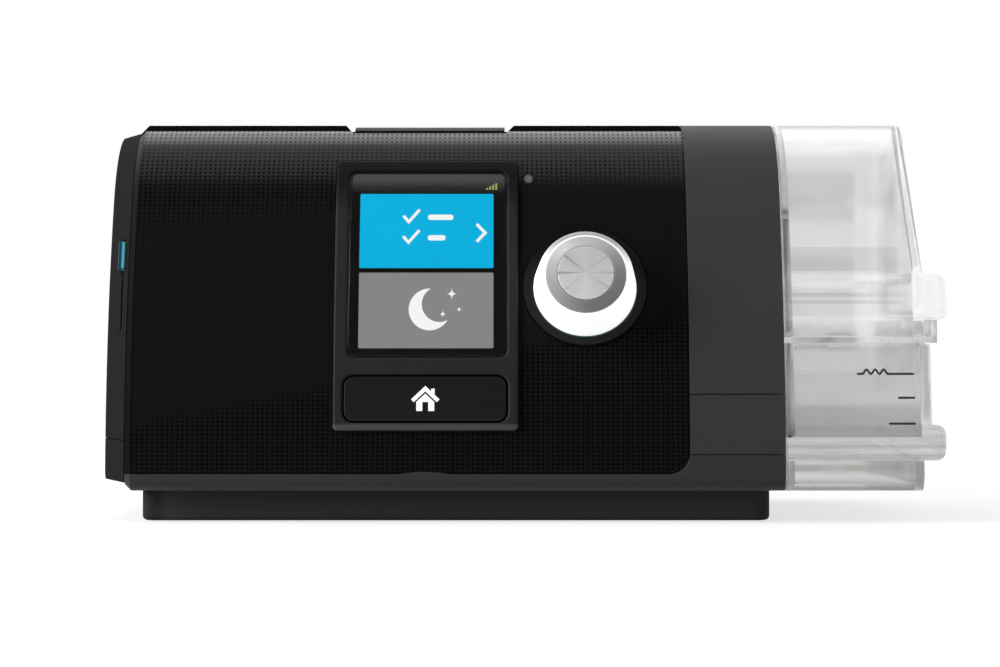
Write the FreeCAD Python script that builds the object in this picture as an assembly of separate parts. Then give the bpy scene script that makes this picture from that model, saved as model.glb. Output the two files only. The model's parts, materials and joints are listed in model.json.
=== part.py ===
import FreeCAD, Part
import math
import os
from FreeCAD import Vector

# Bedside positive-airway-pressure machine with a slide-in humidifier tub.
# Millimetres. +X is the user's right, +Y runs to the rear, +Z is up.
# The origin is on the table, under the middle of the whole machine.

# Outer size of the housing
TOP_Z = 104.8            # crest of the housing above the table
FLOOR_Z = 8.2            # underside of the housing
LIP_Z = 12.8             # lower edge of the glossy front panel
FRONT_Y = -75.0          # foremost line of the front
REAR_Y = 62.0            # rear wall
LEFT_X = -109.75         # outer face of the left side cover
PANEL_X0 = -101.95       # left edge of the front panel
BAND_X0 = 42.55          # seam between front panel and right-hand band
BAND_X1 = 67.15          # right end of the housing, where the tub starts
OUTLET_END_Y = 77.2      # end of the hose outlet

# Side profile of the housing
TILT_LOW = 4.0           # lean of the front face at its lower edge, degrees
FRONT_R = 181.0          # radius of the front face
ROLL_DROP = 19.65        # where the front rolls over to the top, below the crest
REAR_R = 18.0            # radius between top and rear wall
SEAM_TILT = 70.0         # lean at the seam between front panel and top cover
END_CHAMFER = 1.5        # bevel round the housing's left end

# Walls and clearances
WALL = 2.5               # housing walls
SEAM = 0.2               # gap between neighbouring covers
PLAY = 0.35              # gap round a button
FIT = 0.05               # radial clearance of a shaft in its hole
TOUCH = 0.3              # gap between a sliding piece and what it passes

# Right-hand band
PLATE_Z0 = 17.4          # lower seam of the plain plate on the band
PLATE_Z1 = 32.8          # upper seam of that plate
REAR_SEAM_DROP = 3.8     # seam between rear cover and top cover, below the rear radius
CORNER_R = 5.5           # lower right corner of the front panel
DIP_X = -25.0            # shallow arch in the panel's lower edge
DIP_W, DIP_H = 13.2, 0.6

# Base tray and feet
TRAY_X0, TRAY_X1 = -98.5, 64.0
TRAY_Y0, TRAY_Y1 = -65.0, 52.0
TRAY_Z0 = 0.2
TRAY_R = 4.0             # upright corners
TRAY_EDGE_R = 1.2        # lower edge
TRAY_WALL = 2.5
FOOT_R = 6.0
FOOT_H = 2.0
FOOT_INSET = 12.0        # foot centre from the tray's corner edges
TRAY_SCREW_INSET = 26.0  # screw centre from the tray's ends

# Screen group on the front panel
BEZEL_X0, BEZEL_X1 = -48.6, -1.15
BEZEL_Z0 = 23.6
BEZEL_DROP = 11.0        # top of the bezel below the crest
BEZEL_R = 1.2
BEZEL_PROUD = 1.0
BEZEL_EDGE_R = 0.6       # rounded edges of the bezel's face
LENS_X0, LENS_X1 = -45.0, -4.2
LENS_Z0 = 42.5
LENS_EDGE = 3.4          # bezel above the lens
LENS_R = 1.8
LENS_PROUD = 0.8         # lens face above the panel's face
LENS_EDGE_R = 0.4        # rounded edges of the lens
LENS_T = 1.6
LCD_MARGIN = 2.0
LCD_T = 3.0
HOME_X0, HOME_X1 = -45.9, -4.1
HOME_Z0, HOME_Z1 = 26.0, 37.5
HOME_R = 2.5
HOME_PROUD = 0.6
HOME_EDGE_R = 0.5        # rounded edges of the button's face
HOME_T = 2.6
HOME_TRAVEL = 0.8

# Dial
DIAL_X = 16.1
DIAL_Z = 60.6            # height of the dial's axis on the front face
DISH_R = 16.0            # dark dish round the dial
DISH_T = 3.5
SKIRT_R = 13.3           # white skirt, at its base
SKIRT_TOP_R = 12.3       # white skirt, at its upper edge
SKIRT_EDGE = 1.0         # bevel of that edge
SKIRT_H = 9.2
SKIRT_T = 1.8
SKIRT_BASE = 0.6         # base of the skirt below the panel's face
RIM_R = 10.4
RIM_H = 1.6
RIM_DROP = 1.0           # fall of the rim's face from the cap outwards
CAP_R = 7.3
CAP_PROUD = 0.3
CAP_SEAT = 1.0           # depth of the cap in the rim
HUB_R = 6.0
SHAFT_R = 3.0
SHAFT_IN_HUB = 6.0
DIAL_TRAVEL = 0.8
ENCODER_W = 12.0
ENCODER_H = 6.0
LED_BOARD_T = 1.2

# Front board, parallel to the front face at the dial
BOARD_DEPTH = 13.0       # board face behind the front face
BOARD_T = 1.6
BOARD_X0, BOARD_X1 = -58.0, 38.0
BOARD_LOW, BOARD_HIGH = -36.0, 24.0
POST_R = 2.6
POST_EDGE = 3.5          # post centre from the board's edges
BOARD_SCREW_R = 1.0
BOARD_SCREW_IN = 5.0

# Light sensor
SENSOR_X = 1.6
SENSOR_DROP = 15.8       # light sensor below the crest
SENSOR_R = 1.5

# Start button on the top
START_X0, START_X1 = -44.7, -4.6
START_DEPTH = 39.0       # from the top cover's front seam to the button's rear edge
START_SUNK = 0.5
START_T = 3.0
START_SLOPE = 2.4        # run of the sloping ends of the button's recess
START_TRAVEL = 0.8
SWITCH_DROP = 11.8       # underside of the switch board below the crest
SWITCH_BOARD_T = 1.6
SWITCH_H = 3.4
SWITCH_W = 6.0

# Left side cover with memory card and flap
SIDE_INSET = 2.0         # cover stands in from the housing's skin
SIDE_WALL = 1.8
SIDE_SHIFT = 24.0        # how far its front edge runs back at the outer face
SIDE_REAR_SHIFT = 4.0    # how far its rear edge runs forward there
SIDE_SPLIT_Z = 21.0      # seam above the lower trim
CARD_Z = 64.3            # height on the front face that the card's middle is square to
CARD_T, CARD_W, CARD_L = 2.1, 24.0, 32.0
CARD_Y = 8.0             # card's middle behind the cover's front edge
CARD_SUNK = 0.8
CARD_GAP = 0.3
CARD_TRAVEL = 0.8
GRIP_OUT = 3.7           # grip on the card's upper end, beyond the card's edge
GRIP_LOW, GRIP_HIGH = 4.6, 12.0
GRIP_ROOM = 0.9          # open recess round the grip
FLAP_Y0, FLAP_Y1 = 8.3, 14.1
FLAP_LOW, FLAP_HIGH = -12.0, 3.4
FLAP_TAB_H = 1.8         # finger tab at the flap's upper end
FLAP_TAB_W = 0.6         # how far the tab reaches over the card slot
READER_WALL = 1.5
READER_L = 22.0

# Humidifier tub
TUB_END_X = -12.0        # inner end of the tub
TUB_Y0, TUB_Y1 = -34.0, 46.0
TUB_Z0 = 17.6            # underside of the part inside the bay
TUB_LID_Z = 80.0         # top of the part inside the bay
TUB_SPLIT_Z = 46.8       # joint between base and lid
TUB_WALL = 2.0
TUB_END_WALL = 2.6       # right end wall
TUB_SIDE_X = 103.3       # outer face of the right end wall
TUB_BASE_OUT = 1.4       # how far the base's end wall stands out from the lid's
TUB_LEAN = 0.155         # how far that wall leans in above the grip, for each millimetre up
TUB_FLARE = 0.134        # how far it spreads there, for each millimetre to the rear
TUB_FLARE_OUT = 1.7      # where the spreading ends, beyond the end wall
TUB_REAR_Y = 48.0        # rear of the part outside the bay
TUB_FLOOR_Z = 22.0       # inside floor of the part outside the bay
TUB_GAP = 0.4            # between the housing's end and the tub
LEDGE_Z0, LEDGE_Z1 = 16.1, 25.1
LEDGE_PROUD = 1.8
LEDGE_REACH = 5.3        # ledge beyond the right end wall
GRIP_REACH = 6.45        # lid's grip beyond the right end wall
COLLAR_R = 3.0           # rounded end of the ledge and of the lid's grip
COLLAR_STEP = 0.9        # step along the upper and lower edges of both
GRIP_CORNER_R = 5.0      # front corner of the ledge and of the lid's grip
TUB_CORNER_R = 1.0       # right-hand corners of the tub
SKIRT_Z0, SKIRT_Z1 = 52.0, 63.8
GRIP_REAR_Y = 30.0       # rear end of the lid's grip
BASE_SKIRT_IN = 0.75     # foot of the tub stands in from the right end wall
SEAL_T = 1.6
LATCH_Y0, LATCH_Y1 = -58.0, -30.0
LATCH_T = 1.8
TUB_PIN_R = 1.5
TUB_KNUCKLE_R = 3.0
TUB_PIN_INSET = 4.6      # hinge pin from the ends of the tub's outside part

# Bay that takes the tub, heater under it
BAY_GAP = 0.8
BAY_WALL = 1.8
PORT_SEAL_T = 2.0
PORT_R = 7.5
PORT_SEAL_R = 10.5
PORT_Z = 60.0
HEATER_X0, HEATER_X1 = 2.0, 54.0
HEATER_Y0, HEATER_Y1 = -26.0, 38.0
HEATER_PLATE_T = 2.7
HEATER_FOIL_T = 1.2
PLATE_MARGIN = 2.0       # tub's steel plate stands in from the heater's edges

# Blower
BLOWER_X, BLOWER_Y = -72.0, 20.0
VOLUTE_R = 28.0
VOLUTE_H = 28.0
VOLUTE_WALL = 2.2
DUCT_R = 9.5
INLET_R = 11.0
IMPELLER_R = 22.0
IMPELLER_GAP = 1.6
BLADE_COUNT = 12
BLADE_T = 1.2
BLADE_H = 11.0
ROTOR_SHAFT_R = 2.0
MOTOR_R = 17.0
MOTOR_H = 15.0
BEARING_R = 5.0
BEARING_H = 3.5
MAGNET_R = 8.0
STATOR_R0 = 8.8
MOUNT_COUNT = 3
MOUNT_R = 4.5
MOUNT_CIRCLE = 22.5
FLANGE_T = 2.0

# Air path at the rear
ELBOW_X = -29.0
ELBOW_Y = 27.0
OUTLET_R = 11.0
OUTLET_BORE = 8.0
OUTLET_COLLAR_R = 12.5   # shoulder that stops the hose
OUTLET_COLLAR = 1.0      # shoulder proud of the rear wall
OUTLET_FLANGE_R = 15.0
OUTLET_FLANGE_T = 2.0
FILTER_X0, FILTER_X1 = -96.0, -54.0
FILTER_DROP = 3.0        # filter cover below the rear seam
FILTER_H = 36.0
FILTER_T = 6.0
FILTER_COVER_T = 2.5
FILTER_LIP = 2.0         # frame round the filter behind the cover
VENT_COUNT = 9
VENT_W = 2.0
SILENCER_GAP = 2.0       # foam behind the start button
SILENCER_ROOF = 4.0      # foam above the intake channel
SILENCER_DROP = 7.8      # top of the foam below the crest

# Power inlet
INLET_X, INLET_Z = 36.0, 26.0
JACK_W = 13.0
JACK_L = 13.0
JACK_BORE = 3.2
JACK_PIN_R = 1.0

SCREW_R = 1.5
SCREW_HEAD_R = 2.8
SCREW_HEAD_H = 1.6
BOSS_R = 4.0

FAR = 200.0              # longer than the machine, for cutting tools
OVER = 1.0               # how far a cutting tool runs past a face
SAME = 0.01              # places closer than this are one place
ALONG = 0.99             # an edge is along an axis if its direction shares this much
nodes = {}


# Basic solids
def block(x0, x1, y0, y1, z0, z1):
    return Part.makeBox(x1 - x0, y1 - y0, z1 - z0, Vector(x0, y0, z0))


def rod(radius, start, end):
    axis = end - start
    return Part.makeCylinder(radius, axis.Length, start, axis)


def tube(outer, inner, start, end):
    return rod(outer, start, end).cut(rod(inner, start, end))


def window(x0, x1, z0, z1, radius, y0=-FAR, y1=0.0):
    """Rounded rectangle in the XZ plane, carried along Y."""
    solid = block(x0, x1, y0, y1, z0, z1)
    corners = [e for e in solid.Edges if abs(e.tangentAt(e.FirstParameter).y) > ALONG]
    return solid.makeFillet(radius, corners)


def grown(x0, x1, z0, z1, radius, by):
    return window(x0 - by, x1 + by, z0 - by, z1 + by, radius + by)


# Side profile: three tangent arcs at the front, a flat top and a rounded rear edge
def sin(degrees):
    return math.sin(math.radians(degrees))


def cos(degrees):
    return math.cos(math.radians(degrees))


def on_arc(centre, radius, tilt):
    """Point of an arc whose outward normal leans back by tilt degrees."""
    return Vector(0, centre.y - radius * cos(tilt), centre.z + radius * sin(tilt))


LIP_R = (LIP_Z - FLOOR_Z) / (1 + sin(TILT_LOW))
FRONT_C = Vector(0, FRONT_Y + FRONT_R * cos(TILT_LOW), LIP_Z - FRONT_R * sin(TILT_LOW))
TILT_HIGH = math.degrees(math.asin((TOP_Z - ROLL_DROP - FRONT_C.z) / FRONT_R))
ROLL = on_arc(FRONT_C, FRONT_R, TILT_HIGH)
CREST_R = (TOP_Z - ROLL.z) / (1 - sin(TILT_HIGH))
CREST_C = ROLL + Vector(0, CREST_R * cos(TILT_HIGH), -CREST_R * sin(TILT_HIGH))
LIP_START = on_arc(FRONT_C, FRONT_R, TILT_LOW)
LIP_C = LIP_START + Vector(0, LIP_R * cos(TILT_LOW), -LIP_R * sin(TILT_LOW))
SEAM_Y = on_arc(CREST_C, CREST_R, SEAM_TILT).y

# Places that follow from the sizes above
BEZEL_Z1 = TOP_Z - BEZEL_DROP
LENS_Z1 = BEZEL_Z1 - LENS_EDGE
SENSOR_Z = TOP_Z - SENSOR_DROP
REAR_SEAM_Z = TOP_Z - REAR_R - REAR_SEAM_DROP
FILTER_Z1 = REAR_SEAM_Z - FILTER_DROP
FILTER_Z0 = FILTER_Z1 - FILTER_H
START_Y1 = SEAM_Y + START_DEPTH
SWITCH_BOARD_Z = TOP_Z - SWITCH_DROP
SIDE_REACH = PANEL_X0 - SEAM - LEFT_X
SILENCER_Y0 = START_Y1 + SILENCER_GAP
VOLUTE_TOP_Z = PORT_Z + VOLUTE_H / 2
SILENCER_Z1 = TOP_Z - SILENCER_DROP
RIGHT_X = TUB_SIDE_X + GRIP_REACH
LEDGE_SIDE_X = TUB_SIDE_X + LEDGE_REACH
BASE_SKIRT_X = TUB_SIDE_X - BASE_SKIRT_IN
TUB_PIN_X0 = BAND_X1 + TUB_GAP + TUB_PIN_INSET
TUB_PIN_X1 = TUB_SIDE_X - TUB_PIN_INSET


def front_tilt(z):
    """Lean of the front face at a height, in degrees."""
    return math.degrees(math.asin((z - FRONT_C.z) / FRONT_R))


def arc(centre, radius, tilt0, tilt1):
    ends = [on_arc(centre, radius, t) for t in (tilt0, (tilt0 + tilt1) / 2, tilt1)]
    return Part.Arc(*ends).toShape()


def profile(inset, x, shift=0.0, rear_shift=0.0):
    """Closed side profile at x, inset from the skin, with front and rear drawn in if asked."""
    step = Vector(0, shift, 0)
    lip_c, front_c, crest_c = LIP_C + step, FRONT_C + step, CREST_C + step
    rear_y = REAR_Y - rear_shift
    rear_c = Vector(0, rear_y - REAR_R, TOP_Z - REAR_R)
    front = [
        arc(lip_c, LIP_R - inset, -90, TILT_LOW),
        arc(front_c, FRONT_R - inset, TILT_LOW, TILT_HIGH),
        arc(crest_c, CREST_R - inset, TILT_HIGH, 90),
    ]
    rear = [arc(rear_c, REAR_R - inset, 90, 180)]
    foot = Vector(0, rear_y - inset, FLOOR_Z + inset)
    top = Part.makeLine(on_arc(crest_c, CREST_R - inset, 90), on_arc(rear_c, REAR_R - inset, 90))
    back = Part.makeLine(on_arc(rear_c, REAR_R - inset, 180), foot)
    under = Part.makeLine(foot, on_arc(lip_c, LIP_R - inset, -90))
    wire = Part.Wire(front + [top] + rear + [back, under])
    wire.translate(Vector(x, 0, 0))
    return wire


def prism(inset, x0, x1):
    return Part.Face(profile(inset, x0)).extrude(Vector(x1 - x0, 0, 0))


def skin(outer, inner, x0, x1):
    """Housing wall between two insets, open at both ends."""
    return prism(outer, x0, x1).cut(prism(inner, x0 - OVER, x1 + OVER))


def housing_skin(x1):
    """Housing wall from its bevelled left end to x1."""
    edge = PANEL_X0 + END_CHAMFER
    end = Part.makeLoft([profile(END_CHAMFER, PANEL_X0), profile(0, edge)], True, True)
    return end.fuse(prism(0, edge, x1)).cut(prism(WALL, PANEL_X0 - OVER, x1 + OVER))


def depth_in_skin(point):
    """How far a point of the front lies behind the housing's skin."""
    below_roll = point.z <= ROLL.z
    centre, radius = (FRONT_C, FRONT_R) if below_roll else (CREST_C, CREST_R)
    return radius - math.hypot(point.y - centre.y, point.z - centre.z)


def rounded_face(solid, inset, radius):
    """Round all edges of the face that lies at an inset from the skin."""
    def on_face(edge):
        first, last = edge.FirstParameter, edge.LastParameter
        places = [edge.valueAt(first + (last - first) * share) for share in (0.0, 0.3, 0.7, 1.0)]
        return all(abs(depth_in_skin(place) - inset) < SAME for place in places)

    return solid.makeFillet(radius, [e for e in solid.Edges if on_face(e)])


# Tilted frames: local +Y runs inwards, local +Z runs up along the front face
def frame_at(x, z, inset=0.0, shift=0.0):
    tilt = front_tilt(z)
    origin = on_arc(FRONT_C, FRONT_R - inset, tilt) + Vector(x, shift, 0)
    return FreeCAD.Placement(origin, FreeCAD.Rotation(Vector(1, 0, 0), -tilt))


def placed(shape, frame):
    moved = shape.copy()
    moved.Placement = frame.multiply(moved.Placement)
    return moved


def turned(points, frame):
    """Solid of revolution about the frame's inward axis from (radius, depth) points."""
    ring = Part.makePolygon([Vector(r, d, 0) for r, d in points + points[:1]])
    return placed(Part.Face(ring).revolve(Vector(0, 0, 0), Vector(0, 1, 0), 360), frame)


DIAL_FRAME = frame_at(DIAL_X, DIAL_Z)
BOARD_FRAME = frame_at(0, DIAL_Z)
CARD_FRAME = frame_at(0, CARD_Z, SIDE_INSET)


# Housing covers
def panel_region(by=0.0):
    """The glossy panel's outline seen from the front: one rounded lower corner, one shallow arch."""
    x0, x1, z0 = PANEL_X0 - OVER, BAND_X0 + by, LIP_Z - by
    solid = block(x0, x1, -FAR, SEAM_Y, z0, FAR)
    corner = [e for e in solid.Edges
              if abs(e.tangentAt(e.FirstParameter).y) > ALONG
              and e.CenterOfMass.x > x1 - SAME and e.CenterOfMass.z < z0 + SAME]
    radius = (DIP_W ** 2 / 4 + DIP_H ** 2) / (2 * DIP_H)
    middle = Vector(DIP_X, -FAR, LIP_Z + DIP_H - radius)
    hollow = rod(radius - by, middle, Vector(DIP_X, SEAM_Y, middle.z))
    return solid.makeFillet(CORNER_R, corner).cut(hollow)


def board_post_places():
    xs = (BOARD_X0 + POST_EDGE, BOARD_X1 - POST_EDGE)
    heights = (BOARD_LOW + POST_EDGE, BOARD_HIGH - POST_EDGE)
    return [(x, h) for x in xs for h in heights]


def make_front_panel():
    panel = housing_skin(BAND_X0).common(panel_region())
    panel = panel.cut(grown(BEZEL_X0, BEZEL_X1, BEZEL_Z0, BEZEL_Z1, BEZEL_R, SEAM))
    hole = rod(DISH_R + SEAM, Vector(0, -FAR / 4, 0), Vector(0, DISH_T + WALL, 0))
    panel = panel.cut(placed(hole, DIAL_FRAME))
    panel = panel.cut(rod(SENSOR_R + SEAM, Vector(SENSOR_X, -FAR, SENSOR_Z), Vector(SENSOR_X, 0, SENSOR_Z)))
    panel = panel.cut(start_recess())
    inside = prism(WALL / 2, PANEL_X0, BAND_X0)
    for x, height in board_post_places():
        post = rod(POST_R, Vector(x, -FAR / 8, height), Vector(x, BOARD_DEPTH, height))
        bore_end = Vector(x, BOARD_DEPTH - BOARD_SCREW_IN, height)
        bore = rod(BOARD_SCREW_R, bore_end, Vector(x, BOARD_DEPTH, height))
        panel = panel.fuse(placed(post, BOARD_FRAME).common(inside)).cut(placed(bore, BOARD_FRAME))
    nodes["front_panel"] = panel


def start_recess():
    """Wedge-ended dip in the top that the start button sits in."""
    low, high = TOP_Z - START_SUNK - START_SLOPE, TOP_Z + OVER
    run = START_SLOPE * (high - low) / (TOP_Z - low)
    x0, x1 = START_X0 - PLAY, START_X1 + PLAY
    corners = [(x0, low), (x1, low), (x1 + run, high), (x0 - run, high)]
    outline = Part.makePolygon([Vector(x, -FAR / 2, z) for x, z in corners + corners[:1]])
    wedge = Part.Face(outline).extrude(Vector(0, FAR / 2 + START_Y1 + PLAY, 0))
    well = block(x0, x1, SEAM_Y + WALL, START_Y1 + PLAY, SWITCH_BOARD_Z, high)
    return wedge.fuse(well)


def make_top_cover():
    cover = housing_skin(BAND_X0 - SEAM)
    cover = cover.common(block(-FAR, FAR, SEAM_Y + SEAM, FAR, REAR_SEAM_Z, FAR)).cut(start_recess())
    for x in switch_post_places():
        y = switch_middle_y()
        post = rod(POST_R, Vector(x, y, SWITCH_BOARD_Z + SWITCH_BOARD_T), Vector(x, y, TOP_Z - WALL / 2))
        cover = cover.fuse(post)
    nodes["top_cover"] = cover


def make_band():
    x0, x1 = BAND_X0 + SEAM, BAND_X1
    wall = skin(0, WALL, x0, x1)
    upper = wall.common(block(-FAR, FAR, -FAR, 0, PLATE_Z1 + SEAM, FAR))
    nodes["band_cover"] = upper.fuse(wall.common(block(-FAR, FAR, 0, FAR, REAR_SEAM_Z, FAR))).removeSplitter()
    nodes["band_plate"] = wall.common(block(-FAR, FAR, -FAR, 0, PLATE_Z0 + SEAM, PLATE_Z1))


def make_lower_housing():
    lower = housing_skin(BAND_X1).common(block(-FAR, FAR, -FAR, FAR, 0, PLATE_Z0))
    lower = lower.cut(panel_region(SEAM).common(block(-FAR, FAR, -FAR, 0, 0, FAR)))
    for x, y in tray_screw_places():
        lower = lower.cut(rod(SCREW_R, Vector(x, y, 0), Vector(x, y, FLOOR_Z + WALL)))
    nodes["lower_housing"] = lower


def make_rear_cover():
    cover = housing_skin(BAND_X1)
    cover = cover.common(block(-FAR, FAR, 0, FAR, PLATE_Z0 + SEAM, REAR_SEAM_Z - SEAM))
    cover = cover.cut(block(FILTER_X0 - SEAM, FILTER_X1 + SEAM, 0, FAR, FILTER_Z0 - SEAM, FILTER_Z1 + SEAM))
    cover = cover.cut(rod(OUTLET_COLLAR_R + SEAM, Vector(ELBOW_X, 0, PORT_Z), Vector(ELBOW_X, FAR, PORT_Z)))
    half = JACK_W / 2 + SEAM
    cover = cover.cut(block(INLET_X - half, INLET_X + half, 0, FAR, INLET_Z - half, INLET_Z + half))
    depth = REAR_Y - WALL
    outer = block(FILTER_X0 - FILTER_LIP, FILTER_X1 + FILTER_LIP, depth - FILTER_T, depth,
                  FILTER_Z0 - FILTER_LIP, FILTER_Z1 + FILTER_LIP)
    frame = outer.cut(block(FILTER_X0, FILTER_X1, 0, FAR, FILTER_Z0, FILTER_Z1))
    nodes["rear_cover"] = cover.fuse(frame)


def side_shell(inset, x_out, back):
    """Loft from the housing's edge out to the side cover's outer face, its front set back."""
    share = (PANEL_X0 - SEAM - x_out) / SIDE_REACH
    wires = [profile(SIDE_INSET + inset, PANEL_X0 - SEAM, back),
             profile(SIDE_INSET + inset, x_out, back + SIDE_SHIFT * share, SIDE_REAR_SHIFT * share)]
    return Part.makeLoft(wires, True, True)


def side_wall():
    """Side cover's wall, as thick across its slanting front as elsewhere."""
    slant = math.hypot(SIDE_SHIFT, SIDE_REACH) / SIDE_REACH
    hollow = side_shell(SIDE_WALL, LEFT_X + SIDE_WALL, SIDE_WALL * (slant - 1))
    return side_shell(0, LEFT_X, 0).cut(hollow)


def flap_box(by=0.0):
    tilt = front_tilt(CARD_Z)
    front, rear = FLAP_Y0 * cos(tilt), FLAP_Y1 * cos(tilt)
    box = block(LEFT_X - OVER, PANEL_X0, front - by, rear + by, FLAP_LOW - by, FLAP_HIGH + by)
    tab = block(LEFT_X - OVER, PANEL_X0, front - FLAP_TAB_W - by, rear,
                FLAP_HIGH - FLAP_TAB_H - by, FLAP_HIGH + by)
    return placed(box.fuse(tab), CARD_FRAME)


def card_block(x0, x1, low, high, by):
    """Block as thick as the card, grown all round across its length."""
    middle = CARD_Y * cos(front_tilt(CARD_Z))
    half = CARD_T / 2 + by
    return placed(block(x0, x1, middle - half, middle + half, low - by, high + by), CARD_FRAME)


def card_slot(by):
    return card_block(LEFT_X - OVER, 0, -CARD_W / 2, CARD_W / 2, by)


def make_side_cover():
    wall = side_wall().cut(flap_box(SEAM)).cut(card_slot(CARD_GAP))
    wall = wall.cut(card_block(LEFT_X - OVER, 0, GRIP_LOW, GRIP_HIGH, GRIP_ROOM))
    upper = block(-FAR, FAR, -FAR, FAR, SIDE_SPLIT_Z + SEAM, FAR)
    nodes["side_cover"] = wall.common(upper)
    nodes["side_lower_trim"] = wall.common(block(-FAR, FAR, -FAR, FAR, 0, SIDE_SPLIT_Z))
    nodes["card_flap"] = side_wall().common(flap_box())


def card_x():
    """Outer edge of the card, just inside the slanting wall of the side cover."""
    share = CARD_Y / SIDE_SHIFT
    return PANEL_X0 - SEAM - share * SIDE_REACH + CARD_SUNK + SIDE_WALL


def make_card():
    x0 = card_x()
    card = card_block(x0, x0 + CARD_L, -CARD_W / 2, CARD_W / 2, 0)
    nodes["memory_card"] = card.fuse(card_block(x0 - GRIP_OUT, x0, GRIP_LOW, GRIP_HIGH, 0))
    pocket_end = x0 + CARD_L + CARD_TRAVEL + CARD_GAP
    pocket = card_slot(CARD_GAP).common(block(-FAR, pocket_end, -FAR, FAR, -FAR, FAR))
    end = pocket_end + READER_WALL
    shell = card_slot(CARD_GAP + READER_WALL).common(block(end - READER_L, end, -FAR, FAR, -FAR, FAR))
    nodes["card_reader"] = shell.cut(pocket)
    back = CARD_Y * cos(front_tilt(CARD_Z)) + CARD_T / 2 + CARD_GAP + READER_WALL
    board = block(end - READER_L, BOARD_X0, back, back + BOARD_T, -CARD_W / 2, CARD_W / 2)
    nodes["card_board"] = placed(board, CARD_FRAME)


# Base
def tray_screw_places():
    xs = (TRAY_X0 + TRAY_SCREW_INSET, TRAY_X1 - TRAY_SCREW_INSET)
    ys = (TRAY_Y0 + FOOT_INSET, TRAY_Y1 - FOOT_INSET)
    return [(x, y) for x in xs for y in ys]


def foot_places():
    xs = (TRAY_X0 + FOOT_INSET, TRAY_X1 - FOOT_INSET)
    ys = (TRAY_Y0 + FOOT_INSET, TRAY_Y1 - FOOT_INSET)
    return [(x, y) for x in xs for y in ys]


def make_base_tray():
    tray = block(TRAY_X0, TRAY_X1, TRAY_Y0, TRAY_Y1, TRAY_Z0, FLOOR_Z)
    upright = [e for e in tray.Edges if abs(e.tangentAt(e.FirstParameter).z) > ALONG]
    tray = tray.makeFillet(TRAY_R, upright)
    tray = tray.makeFillet(TRAY_EDGE_R, [e for e in tray.Edges if e.BoundBox.ZMax < TRAY_Z0 + SAME])
    tray = tray.cut(block(TRAY_X0 + TRAY_WALL, TRAY_X1 - TRAY_WALL, TRAY_Y0 + TRAY_WALL,
                          TRAY_Y1 - TRAY_WALL, TRAY_Z0 + TRAY_WALL, FAR))
    screws = []
    for x, y in tray_screw_places():
        head = rod(SCREW_HEAD_R, Vector(x, y, TRAY_Z0), Vector(x, y, TRAY_Z0 + SCREW_HEAD_H))
        shank = rod(SCREW_R, Vector(x, y, TRAY_Z0 + SCREW_HEAD_H), Vector(x, y, FLOOR_Z + WALL))
        boss = rod(BOSS_R, Vector(x, y, TRAY_Z0), Vector(x, y, FLOOR_Z))
        tray = tray.fuse(boss).cut(head).cut(shank)
        screws.append(head.fuse(shank))
    feet = []
    for x, y in foot_places():
        foot = rod(FOOT_R, Vector(x, y, 0), Vector(x, y, FOOT_H))
        tray = tray.cut(foot)
        feet.append(foot)
    nodes["base_tray"] = tray
    nodes["tray_screws"] = Part.makeCompound(screws)
    nodes["rubber_feet"] = Part.makeCompound(feet)


# Screen, home button, sensor
def make_screen():
    frame = skin(-BEZEL_PROUD, WALL, PANEL_X0, BAND_X0)
    frame = frame.common(window(BEZEL_X0, BEZEL_X1, BEZEL_Z0, BEZEL_Z1, BEZEL_R))
    frame = frame.cut(grown(LENS_X0, LENS_X1, LENS_Z0, LENS_Z1, LENS_R, SEAM))
    frame = frame.cut(grown(HOME_X0, HOME_X1, HOME_Z0, HOME_Z1, HOME_R, PLAY))
    nodes["screen_bezel"] = rounded_face(frame, -BEZEL_PROUD, BEZEL_EDGE_R)
    glass = skin(-LENS_PROUD, LENS_T - LENS_PROUD, PANEL_X0, BAND_X0)
    glass = glass.common(window(LENS_X0, LENS_X1, LENS_Z0, LENS_Z1, LENS_R))
    nodes["screen_lens"] = rounded_face(glass, -LENS_PROUD, LENS_EDGE_R)
    back = LENS_T - LENS_PROUD + SEAM
    panel = skin(back, back + LCD_T, PANEL_X0, BAND_X0)
    nodes["display_panel"] = panel.common(block(LENS_X0 + LCD_MARGIN, LENS_X1 - LCD_MARGIN, -FAR, 0,
                                                LENS_Z0 + LCD_MARGIN, LENS_Z1 - LCD_MARGIN))


def home_middle():
    """Home button's middle in the board's frame: x and height along the face."""
    z = (HOME_Z0 + HOME_Z1) / 2
    return (HOME_X0 + HOME_X1) / 2, (z - DIAL_Z) / cos(front_tilt(DIAL_Z))


def make_home_button():
    button = skin(-HOME_PROUD, HOME_T - HOME_PROUD, PANEL_X0, BAND_X0)
    button = button.common(window(HOME_X0, HOME_X1, HOME_Z0, HOME_Z1, HOME_R))
    x, height = home_middle()
    stem_end = BOARD_DEPTH - SWITCH_H - HOME_TRAVEL - TOUCH
    stem = rod(SWITCH_W / 2, Vector(x, 0, height), Vector(x, stem_end, height))
    stem = placed(stem, BOARD_FRAME).common(prism(HOME_T / 2, PANEL_X0, BAND_X0))
    nodes["home_button"] = rounded_face(button.fuse(stem), -HOME_PROUD, HOME_EDGE_R)
    switch = rod(SWITCH_W / 2, Vector(x, BOARD_DEPTH - SWITCH_H, height), Vector(x, BOARD_DEPTH, height))
    nodes["home_switch"] = placed(switch, BOARD_FRAME)


def make_sensor():
    lens = rod(SENSOR_R, Vector(SENSOR_X, -FAR, SENSOR_Z), Vector(SENSOR_X, 0, SENSOR_Z))
    nodes["light_sensor_lens"] = lens.common(skin(0, WALL, PANEL_X0, BAND_X0))


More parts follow.
